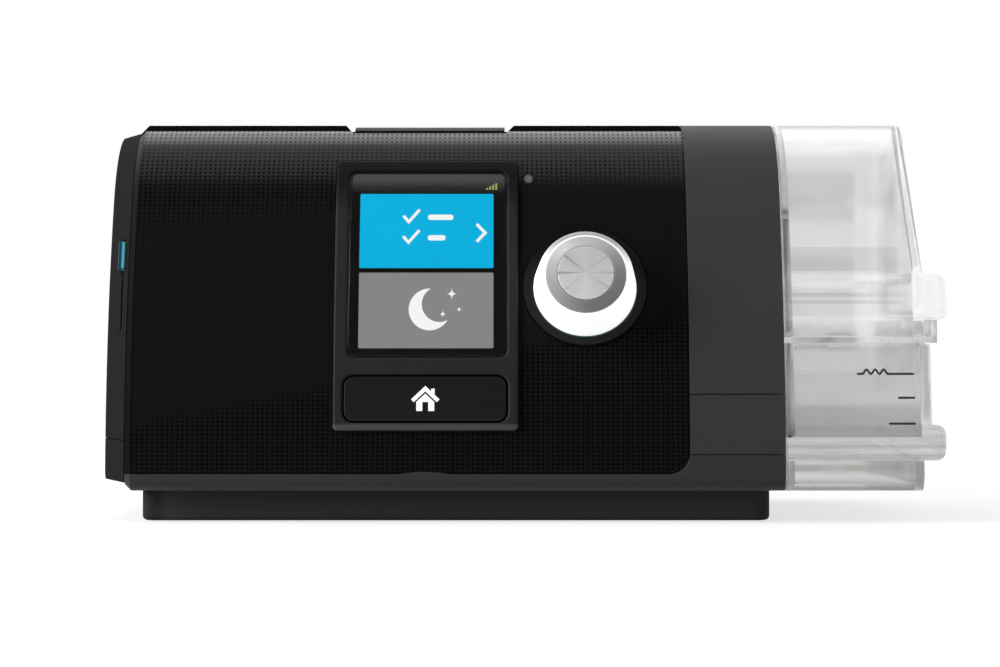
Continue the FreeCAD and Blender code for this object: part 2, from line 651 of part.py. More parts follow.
# Front board and its screws
def make_board():
    board = block(BOARD_X0, BOARD_X1, BOARD_DEPTH, BOARD_DEPTH + BOARD_T, BOARD_LOW, BOARD_HIGH)
    screws = []
    back = BOARD_DEPTH + BOARD_T
    for x, height in board_post_places():
        tip = Vector(x, BOARD_DEPTH - BOARD_SCREW_IN, height)
        shank = rod(BOARD_SCREW_R, tip, Vector(x, back, height))
        head = rod(SCREW_HEAD_R, Vector(x, back, height), Vector(x, back + SCREW_HEAD_H, height))
        board = board.cut(shank)
        screws.append(placed(shank.fuse(head), BOARD_FRAME))
    nodes["main_board"] = placed(board, BOARD_FRAME)
    nodes["board_screws"] = Part.makeCompound(screws)


# Dial: white skirt, metal rim and cap turn together on the encoder's shaft
def make_dial():
    skirt_top = SKIRT_BASE - SKIRT_H
    dish_inner = SKIRT_R + TOUCH
    dish = [(DISH_R, -TOUCH), (dish_inner, SKIRT_BASE), (dish_inner, DISH_T), (DISH_R, DISH_T)]
    nodes["dial_dish"] = turned(dish, DIAL_FRAME)
    skirt = [(SKIRT_R, SKIRT_BASE), (SKIRT_TOP_R, skirt_top + SKIRT_EDGE),
             (SKIRT_TOP_R - SKIRT_EDGE, skirt_top), (SHAFT_R + FIT, skirt_top), (SHAFT_R + FIT, SKIRT_BASE),
             (HUB_R, SKIRT_BASE), (HUB_R, skirt_top + SKIRT_T), (SKIRT_TOP_R - SKIRT_T, skirt_top + SKIRT_T),
             (SKIRT_R - SKIRT_T, SKIRT_BASE)]
    nodes["dial_skirt"] = turned(skirt, DIAL_FRAME)
    face = skirt_top - RIM_H
    rim = [(RIM_R, skirt_top), (RIM_R, face + RIM_DROP), (CAP_R, face), (CAP_R, face + CAP_SEAT),
           (0, face + CAP_SEAT), (0, skirt_top)]
    nodes["dial_rim"] = turned(rim, DIAL_FRAME)
    cap = [(0, face + CAP_SEAT), (CAP_R - FIT, face + CAP_SEAT), (CAP_R - FIT, face), (0, face - CAP_PROUD)]
    nodes["dial_cap"] = turned(cap, DIAL_FRAME)
    encoder_face = BOARD_DEPTH - ENCODER_H
    shaft_end = encoder_face + ENCODER_H / 2
    shaft = rod(SHAFT_R, Vector(0, SKIRT_BASE - SHAFT_IN_HUB, 0), Vector(0, shaft_end, 0))
    nodes["encoder_shaft"] = placed(shaft, DIAL_FRAME)
    half = ENCODER_W / 2
    body = block(-half, half, encoder_face, BOARD_DEPTH, -half, half)
    well = rod(SHAFT_R + FIT, Vector(0, encoder_face, 0), Vector(0, shaft_end + DIAL_TRAVEL + TOUCH, 0))
    nodes["dial_encoder"] = placed(body.cut(well), DIAL_FRAME)
    ring = tube(DISH_R - SEAM, SHAFT_R + TOUCH, Vector(0, DISH_T + SEAM, 0),
                Vector(0, DISH_T + SEAM + LED_BOARD_T, 0))
    nodes["dial_light_board"] = placed(ring, DIAL_FRAME)


# Start button on the top
def switch_middle_y():
    return (SEAM_Y + WALL + START_Y1) / 2


def switch_post_places():
    reach = START_SLOPE + POST_R + WALL
    return START_X0 - reach, START_X1 + reach


def make_start_button():
    y0, y1 = SEAM_Y + WALL + PLAY, START_Y1
    button = skin(START_SUNK, START_SUNK + START_T, PANEL_X0, BAND_X0)
    button = button.common(block(START_X0, START_X1, y0, y1, REAR_SEAM_Z, FAR))
    x, y = (START_X0 + START_X1) / 2, switch_middle_y()
    board_top = SWITCH_BOARD_Z + SWITCH_BOARD_T
    switch_top = board_top + SWITCH_H
    stem = rod(SWITCH_W / 2, Vector(x, y, switch_top + START_TRAVEL + TOUCH),
               Vector(x, y, TOP_Z - START_SUNK - START_T / 2))
    nodes["start_button"] = button.fuse(stem)
    nodes["start_switch"] = rod(SWITCH_W / 2, Vector(x, y, board_top), Vector(x, y, switch_top))
    left, right = switch_post_places()
    nodes["start_board"] = block(left - POST_R, right + POST_R, y - SWITCH_W, y + SWITCH_W,
                                 SWITCH_BOARD_Z, board_top)


# Humidifier tub
def bay_end_x():
    return TUB_END_X - PORT_SEAL_T - TOUCH


def tub_parts(inset, x0, x1, rear):
    """The tub's outside part in layers: base, lid up to its grip, lid with its spreading end."""
    rim_z = TUB_SPLIT_Z - SEAL_T / 2
    low = prism(inset, x0, x1 + TUB_BASE_OUT).common(block(-FAR, FAR, -FAR, rear, LEDGE_Z0, rim_z))
    middle = prism(inset, x0, x1).common(block(-FAR, FAR, -FAR, rear, rim_z, SKIRT_Z1))
    high = prism(inset, x0, x1 + TUB_FLARE_OUT).common(block(-FAR, FAR, -FAR, rear, SKIRT_Z1, FAR))
    front = frame_at(0, SKIRT_Z1).Base.y
    places = [(-FAR, SKIRT_Z1 - OVER), (FAR, SKIRT_Z1 - OVER), (FAR, TOP_Z + OVER), (-FAR, TOP_Z + OVER)]
    corners = [Vector(x1 - TUB_LEAN * (z - SKIRT_Z1) + TUB_FLARE * (y - front), y, z) for y, z in places]
    beyond = Part.Face(Part.makePolygon(corners + corners[:1])).extrude(Vector(FAR, 0, 0))
    return low, middle, high.cut(beyond)


def rounded_end(solid, radius):
    """Round the front and top edges of a right-hand end, but not at the top of the grip."""
    low, rear = solid.BoundBox.ZMin, solid.BoundBox.YMax
    ends = [f for f in solid.Faces if isinstance(f.Surface, Part.Plane) and f.normalAt(0, 0).x > 0.9]
    edges = [e for f in ends for e in f.Edges]
    edges = [e for e in edges if sum(e.isSame(other) for other in edges) == 1
             and e.BoundBox.ZMax > low + SAME and e.BoundBox.YMin < rear - SAME]
    edges = [e for e in edges if abs(e.CenterOfMass.z - SKIRT_Z1) > SAME]
    return solid.makeFillet(radius, edges)


def tub_outer():
    x0 = BAND_X1 + TUB_GAP
    body = block(TUB_END_X, x0, TUB_Y0, TUB_Y1, TUB_Z0, TUB_LID_Z)
    for layer in tub_parts(0, x0, TUB_SIDE_X, TUB_REAR_Y):
        body = body.fuse(rounded_end(layer, TUB_CORNER_R))
    return body


def tub_cavity():
    x0 = BAND_X1 + TUB_GAP + TUB_WALL
    above_floor = block(-FAR, FAR, -FAR, FAR, TUB_FLOOR_Z, FAR)
    cavity = block(TUB_END_X + TUB_WALL, x0, TUB_Y0 + TUB_WALL, TUB_Y1 - TUB_WALL,
                   TUB_Z0 + TUB_WALL, TUB_LID_Z - TUB_WALL)
    for layer in tub_parts(TUB_WALL, x0, TUB_SIDE_X - TUB_END_WALL, TUB_REAR_Y - TUB_WALL):
        cavity = cavity.fuse(layer.common(above_floor))
    return cavity


def collar(z0, z1, side_x, rear_y):
    """Stepped band round the outside of the tub, proud of its front and right end."""
    outer = collar_band(z0 + COLLAR_STEP, z1 - COLLAR_STEP, side_x, LEDGE_PROUD, rear_y)
    return collar_band(z0, z1, side_x, LEDGE_PROUD - COLLAR_STEP, rear_y).fuse(outer)


def collar_band(z0, z1, side_x, proud, rear_y):
    x0 = BAND_X1 + TUB_GAP
    ring = prism(-proud, x0, side_x).common(block(-FAR, FAR, -FAR, rear_y, z0 - COLLAR_R, z1 + COLLAR_R))
    ends = [e for e in ring.Edges if e.BoundBox.XMin > side_x - SAME and e.BoundBox.XLength < SAME]
    front = min(ends, key=lambda e: e.CenterOfMass.y)
    ring = ring.makeFillet(GRIP_CORNER_R, [front])
    return ring.common(window(x0 - FAR, side_x, z0, z1, COLLAR_R, -FAR, FAR))


def port_ys():
    return BLOWER_Y - VOLUTE_R + DUCT_R, ELBOW_Y


def steel_plate(by=0.0):
    m = PLATE_MARGIN - by
    return block(HEATER_X0 + m, HEATER_X1 - m, HEATER_Y0 + m, HEATER_Y1 - m, TUB_Z0, TUB_Z0 + TUB_WALL)


def make_tub():
    x0 = BAND_X1 + TUB_GAP
    shell = tub_outer().fuse(collar(LEDGE_Z0, LEDGE_Z1, LEDGE_SIDE_X, TUB_REAR_Y))
    shell = shell.fuse(collar(SKIRT_Z0, SKIRT_Z1, RIGHT_X, GRIP_REAR_Y)).cut(tub_cavity())
    foot = prism(0, x0, BASE_SKIRT_X).cut(prism(TUB_WALL, x0 + TUB_WALL, BASE_SKIRT_X - TUB_WALL))
    foot = foot.common(block(-FAR, FAR, -FAR, TUB_REAR_Y, FLOOR_Z, LEDGE_Z0))
    below = block(x0 + TUB_WALL, BASE_SKIRT_X - TUB_WALL, LIP_C.y, TUB_REAR_Y - TUB_WALL, 0, LEDGE_Z0)
    base = shell.common(block(-FAR, FAR, -FAR, FAR, 0, TUB_SPLIT_Z - SEAL_T / 2)).fuse(foot).cut(below)
    base = base.cut(steel_plate(FIT))
    lid = shell.common(block(-FAR, FAR, -FAR, FAR, TUB_SPLIT_Z + SEAL_T / 2, FAR))
    for y in port_ys():
        port_start = Vector(TUB_END_X - OVER, y, PORT_Z)
        lid = lid.cut(rod(PORT_R, port_start, Vector(TUB_END_X + TUB_WALL, y, PORT_Z)))
    rim = tub_outer().cut(tub_cavity())
    seal_z0, seal_z1 = TUB_SPLIT_Z - SEAL_T / 2, TUB_SPLIT_Z + SEAL_T / 2
    nodes["tub_seal"] = rim.common(block(-FAR, FAR, -FAR, FAR, seal_z0, seal_z1))
    nodes["tub_plate"] = steel_plate()
    make_tub_hinge(base, lid)
    make_tub_latch()


def make_tub_hinge(base, lid):
    """Hinge behind the tub: base and lid knuckles take turns along one pin."""
    y, z = TUB_REAR_Y + TUB_KNUCKLE_R, TUB_SPLIT_Z
    length = (TUB_PIN_X1 - TUB_PIN_X0) / 3
    ends = [TUB_PIN_X0 + length * i for i in range(4)]
    for i in range(3):
        x0, x1 = ends[i] + SEAM, ends[i + 1] - SEAM
        knuckle = tube(TUB_KNUCKLE_R, TUB_PIN_R + FIT, Vector(x0, y, z), Vector(x1, y, z))
        belongs_to_lid = i == 1
        web_z = (z, z + TUB_KNUCKLE_R) if belongs_to_lid else (z - TUB_KNUCKLE_R, z)
        hole = rod(TUB_PIN_R + FIT, Vector(x0, y, z), Vector(x1, y, z))
        web = block(x0, x1, TUB_REAR_Y, y, *web_z).cut(hole)
        web = web.cut(block(-FAR, FAR, -FAR, TUB_REAR_Y, z - SEAL_T / 2, z + SEAL_T / 2))
        if belongs_to_lid:
            lid = lid.fuse(knuckle.fuse(web))
        else:
            base = base.fuse(knuckle.fuse(web))
    nodes["tub_base"] = base
    nodes["tub_lid"] = lid
    nodes["tub_hinge_pin"] = rod(TUB_PIN_R, Vector(TUB_PIN_X0, y, z), Vector(TUB_PIN_X1, y, z))


def make_tub_latch():
    """Clip under the lid's grip that hooks the base's end wall."""
    x1 = RIGHT_X - LATCH_T
    hook_z = TUB_SPLIT_Z - SEAL_T / 2
    x0 = TUB_SIDE_X + SEAM
    points = [(x1, SKIRT_Z0), (x1, hook_z), (x0, hook_z + LATCH_T), (x0, hook_z + 2 * LATCH_T),
              (x1 - LATCH_T, hook_z + LATCH_T), (x1 - LATCH_T, SKIRT_Z0)]
    outline = Part.makePolygon([Vector(x, LATCH_Y0, z) for x, z in points + points[:1]])
    nodes["tub_latch"] = Part.Face(outline).extrude(Vector(0, LATCH_Y1 - LATCH_Y0, 0))


# Bay, heater and port seals
def make_bay():
    x0, z0 = bay_end_x(), TUB_Z0 - BAY_GAP
    y0, y1, z1 = TUB_Y0 - BAY_GAP, TUB_Y1 + BAY_GAP, TUB_LID_Z + BAY_GAP
    outer = block(x0 - BAY_WALL, BAND_X1, y0 - BAY_WALL, y1 + BAY_WALL, z0 - BAY_WALL, z1 + BAY_WALL)
    legs = [block(x, x + BOSS_R, y, y + BOSS_R, FLOOR_Z + WALL, z0)
            for x in (x0, BAND_X1 - 2 * BOSS_R) for y in (y0, y1 - BOSS_R)]
    end = prism(WALL + SEAM, BAND_X1 - BAY_WALL, BAND_X1)
    bay = outer.fuse(legs).fuse(end).cut(block(x0, FAR, y0, y1, z0, z1))
    bay = bay.cut(block(HEATER_X0 - SEAM, HEATER_X1 + SEAM, HEATER_Y0 - SEAM, HEATER_Y1 + SEAM, FLOOR_Z, z1))
    seals = []
    for y in port_ys():
        bay = bay.cut(rod(PORT_R, Vector(x0 - BAY_WALL, y, PORT_Z), Vector(x0, y, PORT_Z)))
        seals.append(tube(PORT_SEAL_R, PORT_R, Vector(x0, y, PORT_Z), Vector(x0 + PORT_SEAL_T, y, PORT_Z)))
    nodes["tub_bay"] = bay
    nodes["port_seals"] = Part.makeCompound(seals)
    plate_z1 = TUB_Z0 - TOUCH
    plate_z0 = plate_z1 - HEATER_PLATE_T
    area = (HEATER_X0, HEATER_X1, HEATER_Y0, HEATER_Y1)
    nodes["heater_plate"] = block(*area, plate_z0, plate_z1)
    nodes["heater_foil"] = block(*area, plate_z0 - HEATER_FOIL_T, plate_z0)
    nodes["heater_insulation"] = block(*area, FLOOR_Z + WALL, plate_z0 - HEATER_FOIL_T)


# Blower: two volute halves, impeller on a shaft, motor under it, rubber mounts
def blower_point(z):
    return Vector(BLOWER_X, BLOWER_Y, z)


def disc(radius, z0, z1):
    return rod(radius, blower_point(z0), blower_point(z1))


def make_blower():
    z0, z1 = VOLUTE_TOP_Z - VOLUTE_H, VOLUTE_TOP_Z
    duct_y = port_ys()[0]
    duct_end = bay_end_x() - BAY_WALL - SEAM
    start, end = Vector(BLOWER_X, duct_y, PORT_Z), Vector(duct_end, duct_y, PORT_Z)
    outer = disc(VOLUTE_R, z0, z1).fuse(rod(DUCT_R, start, end))
    inner = disc(VOLUTE_R - VOLUTE_WALL, z0 + VOLUTE_WALL, z1 - VOLUTE_WALL)
    inner = inner.fuse(rod(DUCT_R - VOLUTE_WALL, start, end))
    shell = outer.cut(inner).cut(disc(INLET_R, PORT_Z, z1)).cut(disc(BEARING_R, z0, PORT_Z))
    nodes["volute_upper"] = shell.common(block(-FAR, FAR, -FAR, FAR, PORT_Z, FAR))
    nodes["volute_lower"] = shell.common(block(-FAR, FAR, -FAR, FAR, 0, PORT_Z))
    make_impeller(z0 + VOLUTE_WALL + IMPELLER_GAP)
    make_motor(z0)


def make_impeller(z):
    plate = BLADE_T
    wheel = disc(IMPELLER_R, z, z + plate)
    hub_r = ROTOR_SHAFT_R * 2
    wheel = wheel.fuse(disc(hub_r, z, z + BLADE_H))
    for i in range(BLADE_COUNT):
        blade = block(hub_r - BLADE_T, IMPELLER_R - BLADE_T, -BLADE_T / 2, BLADE_T / 2, z, z + BLADE_H)
        blade.rotate(Vector(0, 0, 0), Vector(0, 0, 1), 360 * i / BLADE_COUNT)
        blade.translate(Vector(BLOWER_X, BLOWER_Y, 0))
        wheel = wheel.fuse(blade)
    nodes["impeller"] = wheel.cut(disc(ROTOR_SHAFT_R, z, z + BLADE_H))


def make_motor(top):
    bottom = top - MOTOR_H
    can = disc(MOTOR_R, bottom, top).cut(disc(MOTOR_R - FLANGE_T, bottom + FLANGE_T, top - FLANGE_T))
    can = can.cut(disc(BEARING_R, bottom, top))
    flange = disc(MOUNT_CIRCLE + MOUNT_R, bottom - FLANGE_T, bottom)
    flange = flange.cut(disc(BEARING_R, bottom - FLANGE_T, bottom))
    nodes["motor_can"] = can.fuse(flange)
    low, high = bottom - FLANGE_T, top
    bearings = [(low, low + BEARING_H), (high - BEARING_H + FLANGE_T, high + FLANGE_T)]
    rings = [disc(BEARING_R, a, b).cut(disc(ROTOR_SHAFT_R + FIT, a, b)) for a, b in bearings]
    nodes["motor_bearings"] = Part.makeCompound(rings)
    nodes["motor_shaft"] = disc(ROTOR_SHAFT_R, low, top + VOLUTE_WALL + IMPELLER_GAP + BLADE_H)
    magnet_z0, magnet_z1 = bottom + 2 * FLANGE_T, top - 2 * FLANGE_T
    magnet = disc(MAGNET_R, magnet_z0, magnet_z1)
    nodes["motor_magnet"] = magnet.cut(disc(ROTOR_SHAFT_R, magnet_z0, magnet_z1))
    stator = disc(MOTOR_R - FLANGE_T, bottom + FLANGE_T, top - FLANGE_T)
    nodes["motor_stator"] = stator.cut(disc(STATOR_R0, bottom, top))
    mounts = []
    for i in range(MOUNT_COUNT):
        angle = 360 * i / MOUNT_COUNT
        place = blower_point(FLOOR_Z + WALL) + Vector(cos(angle), sin(angle), 0) * MOUNT_CIRCLE
        mounts.append(rod(MOUNT_R, place, Vector(place.x, place.y, low)))
    nodes["blower_mounts"] = Part.makeCompound(mounts)


# Air path: filter, its cover, intake silencer, elbow and hose outlet
def make_filter():
    y1 = REAR_Y - FILTER_COVER_T - SEAM
    nodes["air_filter"] = block(FILTER_X0 + SEAM, FILTER_X1 - SEAM, y1 - FILTER_T + WALL, y1,
                                FILTER_Z0 + SEAM, FILTER_Z1 - SEAM)
    cover = block(FILTER_X0, FILTER_X1, REAR_Y - FILTER_COVER_T, REAR_Y, FILTER_Z0, FILTER_Z1)
    pitch = (FILTER_X1 - FILTER_X0) / (VENT_COUNT + 1)
    rise = (FILTER_Z1 - FILTER_Z0) / 4
    for i in range(VENT_COUNT):
        x = FILTER_X0 + pitch * (i + 1)
        x0, x1 = x - VENT_W / 2, x + VENT_W / 2
        cover = cover.cut(block(x0, x1, 0, FAR, FILTER_Z0 + rise, FILTER_Z1 - rise))
    nodes["filter_cover"] = cover


def make_silencer():
    top = VOLUTE_TOP_Z
    y1 = REAR_Y - WALL - FILTER_T - SEAM
    foam = block(FILTER_X0, FILTER_X1 + 2 * FILTER_LIP, SILENCER_Y0, y1, top, SILENCER_Z1)
    foam = foam.cut(disc(INLET_R, top, SILENCER_Z1 - SILENCER_ROOF))
    reach = block(BLOWER_X - INLET_R, BLOWER_X + INLET_R, BLOWER_Y, y1, top, SILENCER_Z1 - SILENCER_ROOF)
    nodes["intake_silencer"] = foam.cut(reach)


def make_outlet():
    port_x = bay_end_x() - BAY_WALL - SEAM
    rear = REAR_Y - WALL - OUTLET_FLANGE_T - SEAM
    corner = Vector(ELBOW_X, ELBOW_Y, PORT_Z)

    def bend(radius):
        ball = Part.makeSphere(radius, corner)
        return ball.fuse(rod(radius, corner, Vector(port_x, ELBOW_Y, PORT_Z))).fuse(
            rod(radius, corner, Vector(ELBOW_X, rear, PORT_Z)))

    nodes["outlet_elbow"] = bend(DUCT_R).cut(bend(PORT_R))
    start, end = Vector(ELBOW_X, rear, PORT_Z), Vector(ELBOW_X, OUTLET_END_Y, PORT_Z)
    flange = rod(OUTLET_FLANGE_R, start, Vector(ELBOW_X, REAR_Y - WALL - SEAM, PORT_Z))
    spout = rod(OUTLET_R, start, end)
    bore = rod(OUTLET_BORE, start, end)
    shoulder = rod(OUTLET_COLLAR_R, start, Vector(ELBOW_X, REAR_Y + OUTLET_COLLAR, PORT_Z))
    nodes["air_outlet"] = flange.fuse(shoulder).fuse(spout).cut(bore)


def make_power_inlet():
    half = JACK_W / 2
    body = block(INLET_X - half, INLET_X + half, REAR_Y - JACK_L, REAR_Y, INLET_Z - half, INLET_Z + half)
    mouth = Vector(INLET_X, REAR_Y, INLET_Z)
    floor = Vector(INLET_X, REAR_Y - JACK_L + WALL, INLET_Z)
    nodes["power_inlet"] = body.cut(rod(JACK_BORE, floor, mouth))
    nodes["power_pin"] = rod(JACK_PIN_R, floor, mouth - Vector(0, WALL, 0))


for make in (make_front_panel, make_top_cover, make_band, make_lower_housing, make_rear_cover,
             make_side_cover, make_card, make_base_tray, make_screen, make_home_button, make_sensor,
             make_board, make_dial, make_start_button, make_tub, make_bay, make_blower, make_filter,
             make_silencer, make_outlet, make_power_inlet):
    make()

os.makedirs("parts", exist_ok=True)
for name, shape in sorted(nodes.items()):
    shape.exportStep("parts/" + name + ".step")
    print(name, len(shape.Solids), round(shape.Volume), shape.isValid())
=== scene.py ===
import json
import math

import bmesh
import bpy
import numpy as np
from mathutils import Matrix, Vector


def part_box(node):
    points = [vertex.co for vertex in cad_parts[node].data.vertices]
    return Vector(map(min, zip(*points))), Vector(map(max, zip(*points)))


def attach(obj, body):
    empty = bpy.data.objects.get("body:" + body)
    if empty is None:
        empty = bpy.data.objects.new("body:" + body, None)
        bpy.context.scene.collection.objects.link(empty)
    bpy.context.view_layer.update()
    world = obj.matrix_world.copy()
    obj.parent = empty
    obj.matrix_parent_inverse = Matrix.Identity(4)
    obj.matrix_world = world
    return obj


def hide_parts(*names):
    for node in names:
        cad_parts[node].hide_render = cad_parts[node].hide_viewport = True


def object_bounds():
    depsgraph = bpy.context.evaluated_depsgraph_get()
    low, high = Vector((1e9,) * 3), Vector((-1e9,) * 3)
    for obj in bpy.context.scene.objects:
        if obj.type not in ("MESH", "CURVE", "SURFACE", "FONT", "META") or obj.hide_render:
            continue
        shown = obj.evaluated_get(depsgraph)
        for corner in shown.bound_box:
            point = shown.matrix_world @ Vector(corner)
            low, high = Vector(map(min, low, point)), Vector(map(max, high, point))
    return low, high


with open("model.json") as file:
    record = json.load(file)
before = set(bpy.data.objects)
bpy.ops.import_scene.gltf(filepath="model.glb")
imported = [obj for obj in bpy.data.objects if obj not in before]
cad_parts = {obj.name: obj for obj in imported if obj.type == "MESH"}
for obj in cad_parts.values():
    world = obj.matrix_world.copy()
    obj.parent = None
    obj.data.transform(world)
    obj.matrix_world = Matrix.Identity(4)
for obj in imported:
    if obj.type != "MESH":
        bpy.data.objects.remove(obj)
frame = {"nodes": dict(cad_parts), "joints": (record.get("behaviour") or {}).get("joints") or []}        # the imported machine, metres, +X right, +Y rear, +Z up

cadLow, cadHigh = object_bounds()
nodes = frame["nodes"]
print("frame loaded:", len(nodes), "nodes")

mm = 0.001


# Node tree helpers

def newMaterial(name):
    material = bpy.data.materials.new(name)
    material.use_nodes = True
    tree = material.node_tree
    shader = tree.nodes["Principled BSDF"]
    return material, tree, shader


def put(tree, kind, **settings):
    node = tree.nodes.new(kind)
    for key, value in settings.items():
        setattr(node, key, value)
    return node


def feed(tree, socket, value):
    # a socket takes a link from another socket, or a plain value
    if isinstance(value, bpy.types.NodeSocket):
        tree.links.new(value, socket)
    else:
        socket.default_value = value


def maths(tree, operation, first, second=0.0):
    node = put(tree, "ShaderNodeMath", operation=operation)
    for socket, value in zip(node.inputs, (first, second)):
        feed(tree, socket, value)
    return node.outputs[0]


def ramp(tree, value, low, high, toLow=0.0, toHigh=1.0):
    # smooth step from low..high to toLow..toHigh
    node = put(tree, "ShaderNodeMapRange", interpolation_type="SMOOTHSTEP")
    for socket, part in zip(node.inputs, (value, low, high, toLow, toHigh)):
        feed(tree, socket, part)
    return node.outputs[0]


def blendColours(tree, share, first, second):
    node = put(tree, "ShaderNodeMix", data_type="RGBA")
    feed(tree, node.inputs["Factor"], share)
    feed(tree, node.inputs[6], first)
    feed(tree, node.inputs[7], second)
    return node.outputs[2]


def noise(tree, place, scale, detail):
    node = put(tree, "ShaderNodeTexNoise")
    feed(tree, node.inputs["Vector"], place)
    feed(tree, node.inputs["Scale"], scale)
    feed(tree, node.inputs["Detail"], detail)
    return node.outputs["Fac"]


def rgb(tone, share=1.0):
    # a tone as an opaque colour, brought down to a share of its light
    return (*(share * part for part in tone), 1.0)


def objectPlace(tree):
    return put(tree, "ShaderNodeTexCoord").outputs["Object"]


def split(tree, vector):
    node = put(tree, "ShaderNodeSeparateXYZ")
    tree.links.new(vector, node.inputs[0])
    return node.outputs


def hypotenuse(tree, across, up):
    # length of a step of across and up
    squares = [maths(tree, "POWER", step, 2.0) for step in (across, up)]
    return maths(tree, "SQRT", maths(tree, "ADD", *squares))


def banded(tree, colour, paintedLightBands, axis=2):
    # bands of painted shade and painted highlight along one axis, each (from, to, soft edge, tone), in
    # metres
    along = split(tree, objectPlace(tree))[axis]
    for start, end, soft, tone in paintedLightBands:
        rise = ramp(tree, along, start - soft, start)
        fall = ramp(tree, along, end, end + soft, 1.0, 0.0)
        colour = blendColours(tree, maths(tree, "MULTIPLY", rise, fall), colour, rgb(tone))
    return colour


def roundedNormal(tree, radius, height=None, distance=0.1 * mm):
    # edges rounded by a small radius, with the surface's own fine relief on top
    bevel = put(tree, "ShaderNodeBevel", samples=6)
    bevel.inputs["Radius"].default_value = radius
    if height is None:
        return bevel.outputs["Normal"]
    bump = put(tree, "ShaderNodeBump")
    bump.inputs["Distance"].default_value = distance
    tree.links.new(height, bump.inputs["Height"])
    tree.links.new(bevel.outputs["Normal"], bump.inputs["Normal"])
    return bump.outputs["Normal"]


# Shared surface effects, as node groups

def newGroup(name, inputs, outputs):
    tree = bpy.data.node_groups.new(name, "ShaderNodeTree")
    for label, kind, value in inputs:
        socket = tree.interface.new_socket(label, in_out="INPUT", socket_type=kind)
        socket.default_value = value
    for label, kind in outputs:
        tree.interface.new_socket(label, in_out="OUTPUT", socket_type=kind)
    start = put(tree, "NodeGroupInput")
    end = put(tree, "NodeGroupOutput")
    return tree, start.outputs, end.inputs


def makeMouldGrain():
    # spark-eroded mould skin: fine pebbles, with a slow drift in tone and gloss
    tree, given, result = newGroup("mouldGrain", [
        ("Color", "NodeSocketColor", (0.05, 0.05, 0.05, 1.0)),
        ("Tone Drift", "NodeSocketFloat", 0.12),
        ("Roughness", "NodeSocketFloat", 0.4),
        ("Gloss Drift", "NodeSocketFloat", 0.1),
        ("Grain", "NodeSocketFloat", 2600.0),
        ("Drift Size", "NodeSocketFloat", 38.0),
    ], [("Color", "NodeSocketColor"), ("Roughness", "NodeSocketFloat"), ("Height", "NodeSocketFloat")])
    place = objectPlace(tree)
    fine = noise(tree, place, given["Grain"], 2.0)
    broad = noise(tree, place, given["Drift Size"], 4.0)
    drift = maths(tree, "SUBTRACT", broad, 0.5)
    speck = maths(tree, "SUBTRACT", fine, 0.5)
    tone = maths(tree, "MULTIPLY", maths(tree, "ADD", drift, speck), given["Tone Drift"])
    gain = put(tree, "ShaderNodeVectorMath", operation="SCALE")
    tree.links.new(given["Color"], gain.inputs[0])
    tree.links.new(maths(tree, "ADD", tone, 1.0), gain.inputs["Scale"])
    tree.links.new(gain.outputs[0], result["Color"])
    shift = maths(tree, "MULTIPLY", maths(tree, "ADD", drift, speck), given["Gloss Drift"])
    tree.links.new(maths(tree, "ADD", given["Roughness"], shift), result["Roughness"])
    tree.links.new(fine, result["Height"])
    return tree


def makeMouldWaves():
    # slow waviness and faint flow marks of a clear moulding
    tree, given, result = newGroup("mouldWaves", [
        ("Wave", "NodeSocketFloat", 30.0),
        ("Haze", "NodeSocketFloat", 0.1),
        ("Haze Drift", "NodeSocketFloat", 0.1),
    ], [("Height", "NodeSocketFloat"), ("Roughness", "NodeSocketFloat"), ("Cloud", "NodeSocketFloat")])
    place = objectPlace(tree)
    wave = noise(tree, place, given["Wave"], 1.0)
    cloud = noise(tree, place, maths(tree, "MULTIPLY", given["Wave"], 3.0), 2.0)
    cloud = ramp(tree, cloud, 0.36, 0.64)
    tree.links.new(wave, result["Height"])
    tree.links.new(cloud, result["Cloud"])
    drift = maths(tree, "MULTIPLY", maths(tree, "SUBTRACT", cloud, 0.5), given["Haze Drift"])
    tree.links.new(maths(tree, "ADD", given["Haze"], drift), result["Roughness"])
    return tree


mouldGrain = makeMouldGrain()
mouldWaves = makeMouldWaves()


def useGroup(tree, group, **values):
    node = put(tree, "ShaderNodeGroup", node_tree=group)
    for key, value in values.items():
        node.inputs[key.replace("_", " ")].default_value = value
    return node.outputs


# Plain moulded plastics, rubber, foam and boards share one recipe
# What a look leaves out is in plainMould
plainMould = {"toneDrift": 0.12, "glossDrift": 0.1, "grain": 2600.0, "driftSize": 38.0, "shine": 0.5,
              "edge": 0.3 * mm, "depth": 0.03 * mm, "paintedLightBands": [], "paintedLightEndBands": []}


def mouldedPlastic(name, look):
    look = {**plainMould, **look}
    material, tree, shader = newMaterial(name)
    grain = useGroup(tree, mouldGrain, Color=rgb(look["colour"]), Tone_Drift=look["toneDrift"],
                     Roughness=look["roughness"], Gloss_Drift=look["glossDrift"],
                     Grain=look["grain"], Drift_Size=look["driftSize"])
    colour = banded(tree, grain["Color"], look["paintedLightBands"])
    colour = banded(tree, colour, look["paintedLightEndBands"], 0)
    tree.links.new(colour, shader.inputs["Base Color"])
    tree.links.new(grain["Roughness"], shader.inputs["Roughness"])
    shader.inputs["Specular IOR Level"].default_value = look["shine"]
    normal = roundedNormal(tree, look["edge"], grain["Height"], look["depth"])
    tree.links.new(normal, shader.inputs["Normal"])
    return material


# Brushed metals: what a look leaves out is in plainMetal
plainMetal = {"stretch": (1.0, 12.0, 12.0), "streaks": 400.0, "glossDrift": 0.08, "edge": 0.2 * mm,
              "depth": 0.01 * mm}


